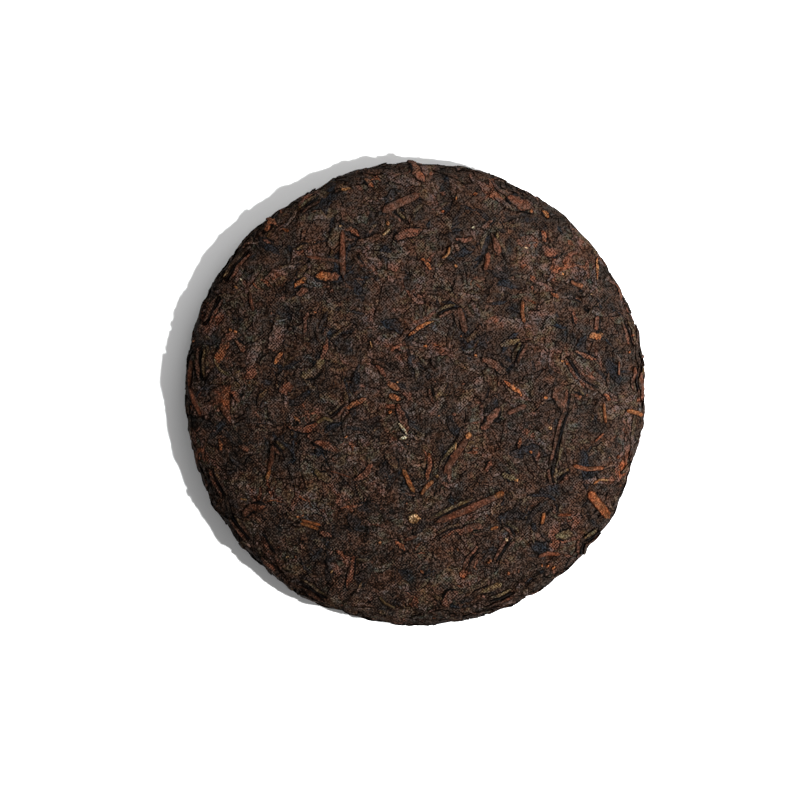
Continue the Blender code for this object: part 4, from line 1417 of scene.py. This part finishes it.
# %% Grains and crumbs
# Each one's pixel and tint.
CRUMBS = {
    "upper left rim": ((236, 287), 0.82),
    "top, by the rim": ((456, 199), 0.82),
    "middle, upper": ((426, 346), 0.82),
    "right of the middle": ((476, 356), 0.82),
    "left of the middle": ((346, 437), 0.82),
    "above the long stalk": ((437, 476), 0.82),
    "by the upper right leaf": ((531, 212), 0.76),
    "by the right crack": ((546, 398), 0.82),
    "top": ((443, 212), 0.74),
    "top, left": ((388, 224), 0.74),
    "below the middle": ((429, 455), 0.74),
    "right of the right crack": ((580, 397), 0.74),
    "lower left": ((288, 556), 0.74),
    "low": ((422, 571), 0.7),
    "low, right of it": ((488, 561), 0.7),
    "low, its neighbour": ((490, 559), 0.66),
    "low right": ((508, 572), 0.7),
    "top, right": ((475, 195), 0.76),
    "upper middle": ((456, 266), 0.88),
    "on the grey leaf": ((516, 480), 0.86),
    "right": ((531, 452), 0.88),
    "low right rim": ((541, 564), 0.84),
    "low right rim, second": ((547, 565), 0.8),
    "low right rim, third": ((553, 567), 0.86),
    "beside the low crack": ((506, 539), 0.88),
    "low left": ((298, 517), 0.84),
    "left of the band": ((390, 412), 0.66),
    "right of the band": ((454, 414), 0.66),
    "at the upper crack": ((562, 361), 0.7),
    "its second": ((567, 364), 0.6),
    "right rim": ((629, 352), 0.7),
    "right rim, outer": ((641, 357), 0.6),
    "right rim, upper": ((631, 336), 0.6),
    "right, outer": ((619, 457), 0.66),
    "low middle": ((380, 543), 0.66),
    "upper right": ((532, 288), 0.5),
    "low rim": ((483, 595), 0.6),
    "low right, dark": ((518, 570), 0.6),
    "low left, red": ((296, 556), 0.5),
    "low, red": ((365, 500), 0.5),
    "upper left, inner": ((331, 291), 0.5),
    "pale, right": ((550, 428), 1.0),
    "pale, upper left": ((340, 225), 1.0),
    "pale, top": ((473, 228), 1.0),
    "pale, low left": ((332, 571), 0.95),
    "left, over the orange": ((231, 330), 0.9),
    "left, beside it": ((236, 332), 0.84),
}
PALE_GRAINS = {
    "round": (((408, 519), (421, 518)), 5.0, 1.0, 0.0),
    "small": (((399, 439), (408, 437)), 2.2, 1.0, 0.0),
}
CRUMB_SEED = 3
CRUMB_LIFT = 0.4 * MM
rng = random.Random(CRUMB_SEED)
grains = list(PALE_GRAINS.values())
for (px, py), tint in CRUMBS.values():
    angle, half = rng.uniform(0.0, math.pi), rng.uniform(1.6, 2.6)
    x, y = half * math.cos(angle), half * math.sin(angle)
    grains.append((((px - x, py - y), (px + x, py + y)), rng.uniform(1.0, 1.7), tint, 0.0))
lay_by_hand("marked_crumbs", "crumb", golden_crumb, grains, CRUMB_LIFT, stations=3, columns=3)

# %% [markdown]
# ## Cracks
# In drying, the face tears open along a few leaf edges. A cut through all the thin leaves would be
# heavy and wouldn't show more, because no light gets into it. So a crack is a narrow floor of
# pitch-dark leaf, painted shade for its dark inside, between two torn edges that stand up beside it.
# The chip has such floors of painted shade too, but no torn edges, because the core itself drops away
# there.

# %% Cracks
# Each one's path in pixels and its width in mm.
CRACKS = {
    "right, long": (((569, 404), (568, 413), (562, 432), (557, 448), (552, 467)), 1.0),
    "right, its foot": (((552, 467), (552, 476), (553, 484)), 0.7),
    "right, upper": (((567, 357), (574, 368), (582, 379)), 1.0),
    "right, branch": (((582, 379), (590, 384), (600, 388)), 0.7),
    "beside the brown leaf": (((570, 388), (569, 400), (566, 411)), 0.8),
    "right, middle": (((571, 391), (579, 393), (583, 398)), 1.0),
    "low, long": (((513, 536), (505, 546), (495, 563)), 0.9),
    "low, upper": (((504, 524), (511, 528), (516, 536)), 0.8),
    "low, left": (((481, 546), (472, 556), (465, 571)), 0.7),
    "under the stalk": (((437, 536), (450, 529), (466, 527)), 0.7),
    "low rim": (((489, 599), (499, 596), (513, 590)), 1.1),
    "low right rim": (((581, 540), (580, 547), (579, 553)), 1.0),
    "low right, branch": (((583, 540), (590, 536), (598, 529)), 0.6),
    "right rim": (((638, 366), (636, 380), (637, 392)), 0.9),
    "short, right": (((556, 481), (564, 475), (571, 471)), 1.1),
    "short, low right": (((556, 504), (558, 513)), 0.9),
    "upper middle": (((456, 307), (460, 318), (462, 328)), 0.8),
    "upper, above it": (((437, 315), (446, 310), (458, 307)), 0.6),
    "olive leaf": (((432, 387), (434, 396), (437, 403)), 0.7),
    "middle, fine": (((515, 363), (519, 352), (524, 342)), 0.7),
    "left, short": (((273, 443), (278, 448), (283, 452)), 1.0),
    "left, fine": (((330, 417), (340, 409), (348, 403)), 0.6),
    "top rim": (((391, 205), (396, 214), (404, 222)), 0.7),
    "top, beside the dark leaf": (((357, 253), (362, 262), (366, 266)), 0.8),
    "brown stalk": (((441, 472), (450, 455), (461, 440)), 0.6),
    "long stalk": (((431, 521), (455, 509), (478, 499)), 0.6),
    "top right": (((494, 232), (497, 243), (503, 256)), 0.7),
    "upper left rim": (((225, 281), (236, 264), (249, 250)), 0.6),
    "upper left rim, left": (((207, 326), (213, 311), (221, 296)), 0.6),
    "top left rim": (((299, 210), (308, 202), (319, 195)), 0.6),
    "left rim": (((202, 346), (199, 363), (201, 381)), 0.5),
    "left rim, low": (((211, 467), (217, 483), (225, 498)), 0.5),
    "low left rim": (((231, 515), (240, 528), (251, 540)), 0.5),
    "low left rim, inner": (((263, 532), (269, 543), (277, 553)), 0.7),
    "low rim, left": (((300, 580), (313, 589), (327, 597)), 0.7),
    "right rim, upper": (((622, 321), (628, 333), (632, 346)), 0.8),
}
CHIP_SHADE_FLOORS = {
    "upper": (((570, 279), (575, 282), (578, 285)), 1.7),
    "middle": (((575, 291), (580, 292), (584, 290)), 1.8),
    "left": (((575, 293), (577, 300), (582, 303)), 1.3),
    "lower": (((586, 307), (588, 312)), 1.4),
}
SHADE_FLOOR_LIFT = 0.35 * MM
EDGE_LIFT = 0.4 * MM
EDGE_WIDTH = 2.0
# The two sides of a crack, and the tint of the torn edge on each.
EDGE_SIDES = ((1.0, 0.34), (-1.0, 0.16))
dark = [*CRACKS.values(), *CHIP_SHADE_FLOORS.values()]
# Floors of pitch-dark leaf are painted shade in the cracks and the chip.
shade_floors = [(path, wide, SHADE_TINT, 0.0) for path, wide in dark]
lay_by_hand("crack_floors", "sliver", crack_shade, shade_floors, SHADE_FLOOR_LIFT, stations=8, columns=2)
torn_edges = []
for path, wide in CRACKS.values():
    run, rise = path[-1][0] - path[0][0], path[-1][1] - path[0][1]
    for side, tint in EDGE_SIDES:
        shift = side * 0.5 * (wide + EDGE_WIDTH) * MM / PIXEL / math.hypot(run, rise)
        beside = [(px - rise * shift, py + run * shift) for px, py in path]
        torn_edges.append((beside, EDGE_WIDTH, tint, 0.0))
lay_by_hand("torn_edges", "sliver", marked_leaf, torn_edges, EDGE_LIFT, stations=8, columns=2)

# %% [markdown]
# ## The core as a piece
# Between the leaves the core shows as crumpled dark leaf. It gets the same finish, with one tint all
# over and no leaf edges.

# %% Core piece
CORE_TINT = 0.45
core_object = bpy.data.objects.new("pressed_core", core)
bpy.context.scene.collection.objects.link(core_object)
core.materials.append(core_finish)
keep_values(core, "tint", [CORE_TINT] * len(core.vertices))
keep_values(core, "edge", [1.0] * len(core.vertices))
for zone in ZONES:
    core.attributes.remove(core.attributes[zone])
keep(core_object)

# %% [markdown]
# ## Tidying away
# The flat shapes have done their work, so they go, and only the pieces are left. Their triangles are
# counted in all.

# %% Tidy away and finish
for group in shapes.values():
    for shape in list(group.objects):
        bpy.data.objects.remove(shape)
    bpy.data.collections.remove(group)

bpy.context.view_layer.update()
triangles = [count_triangles(piece.data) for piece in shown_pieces() if piece.type == "MESH"]
print("Triangles in all:", sum(triangles))
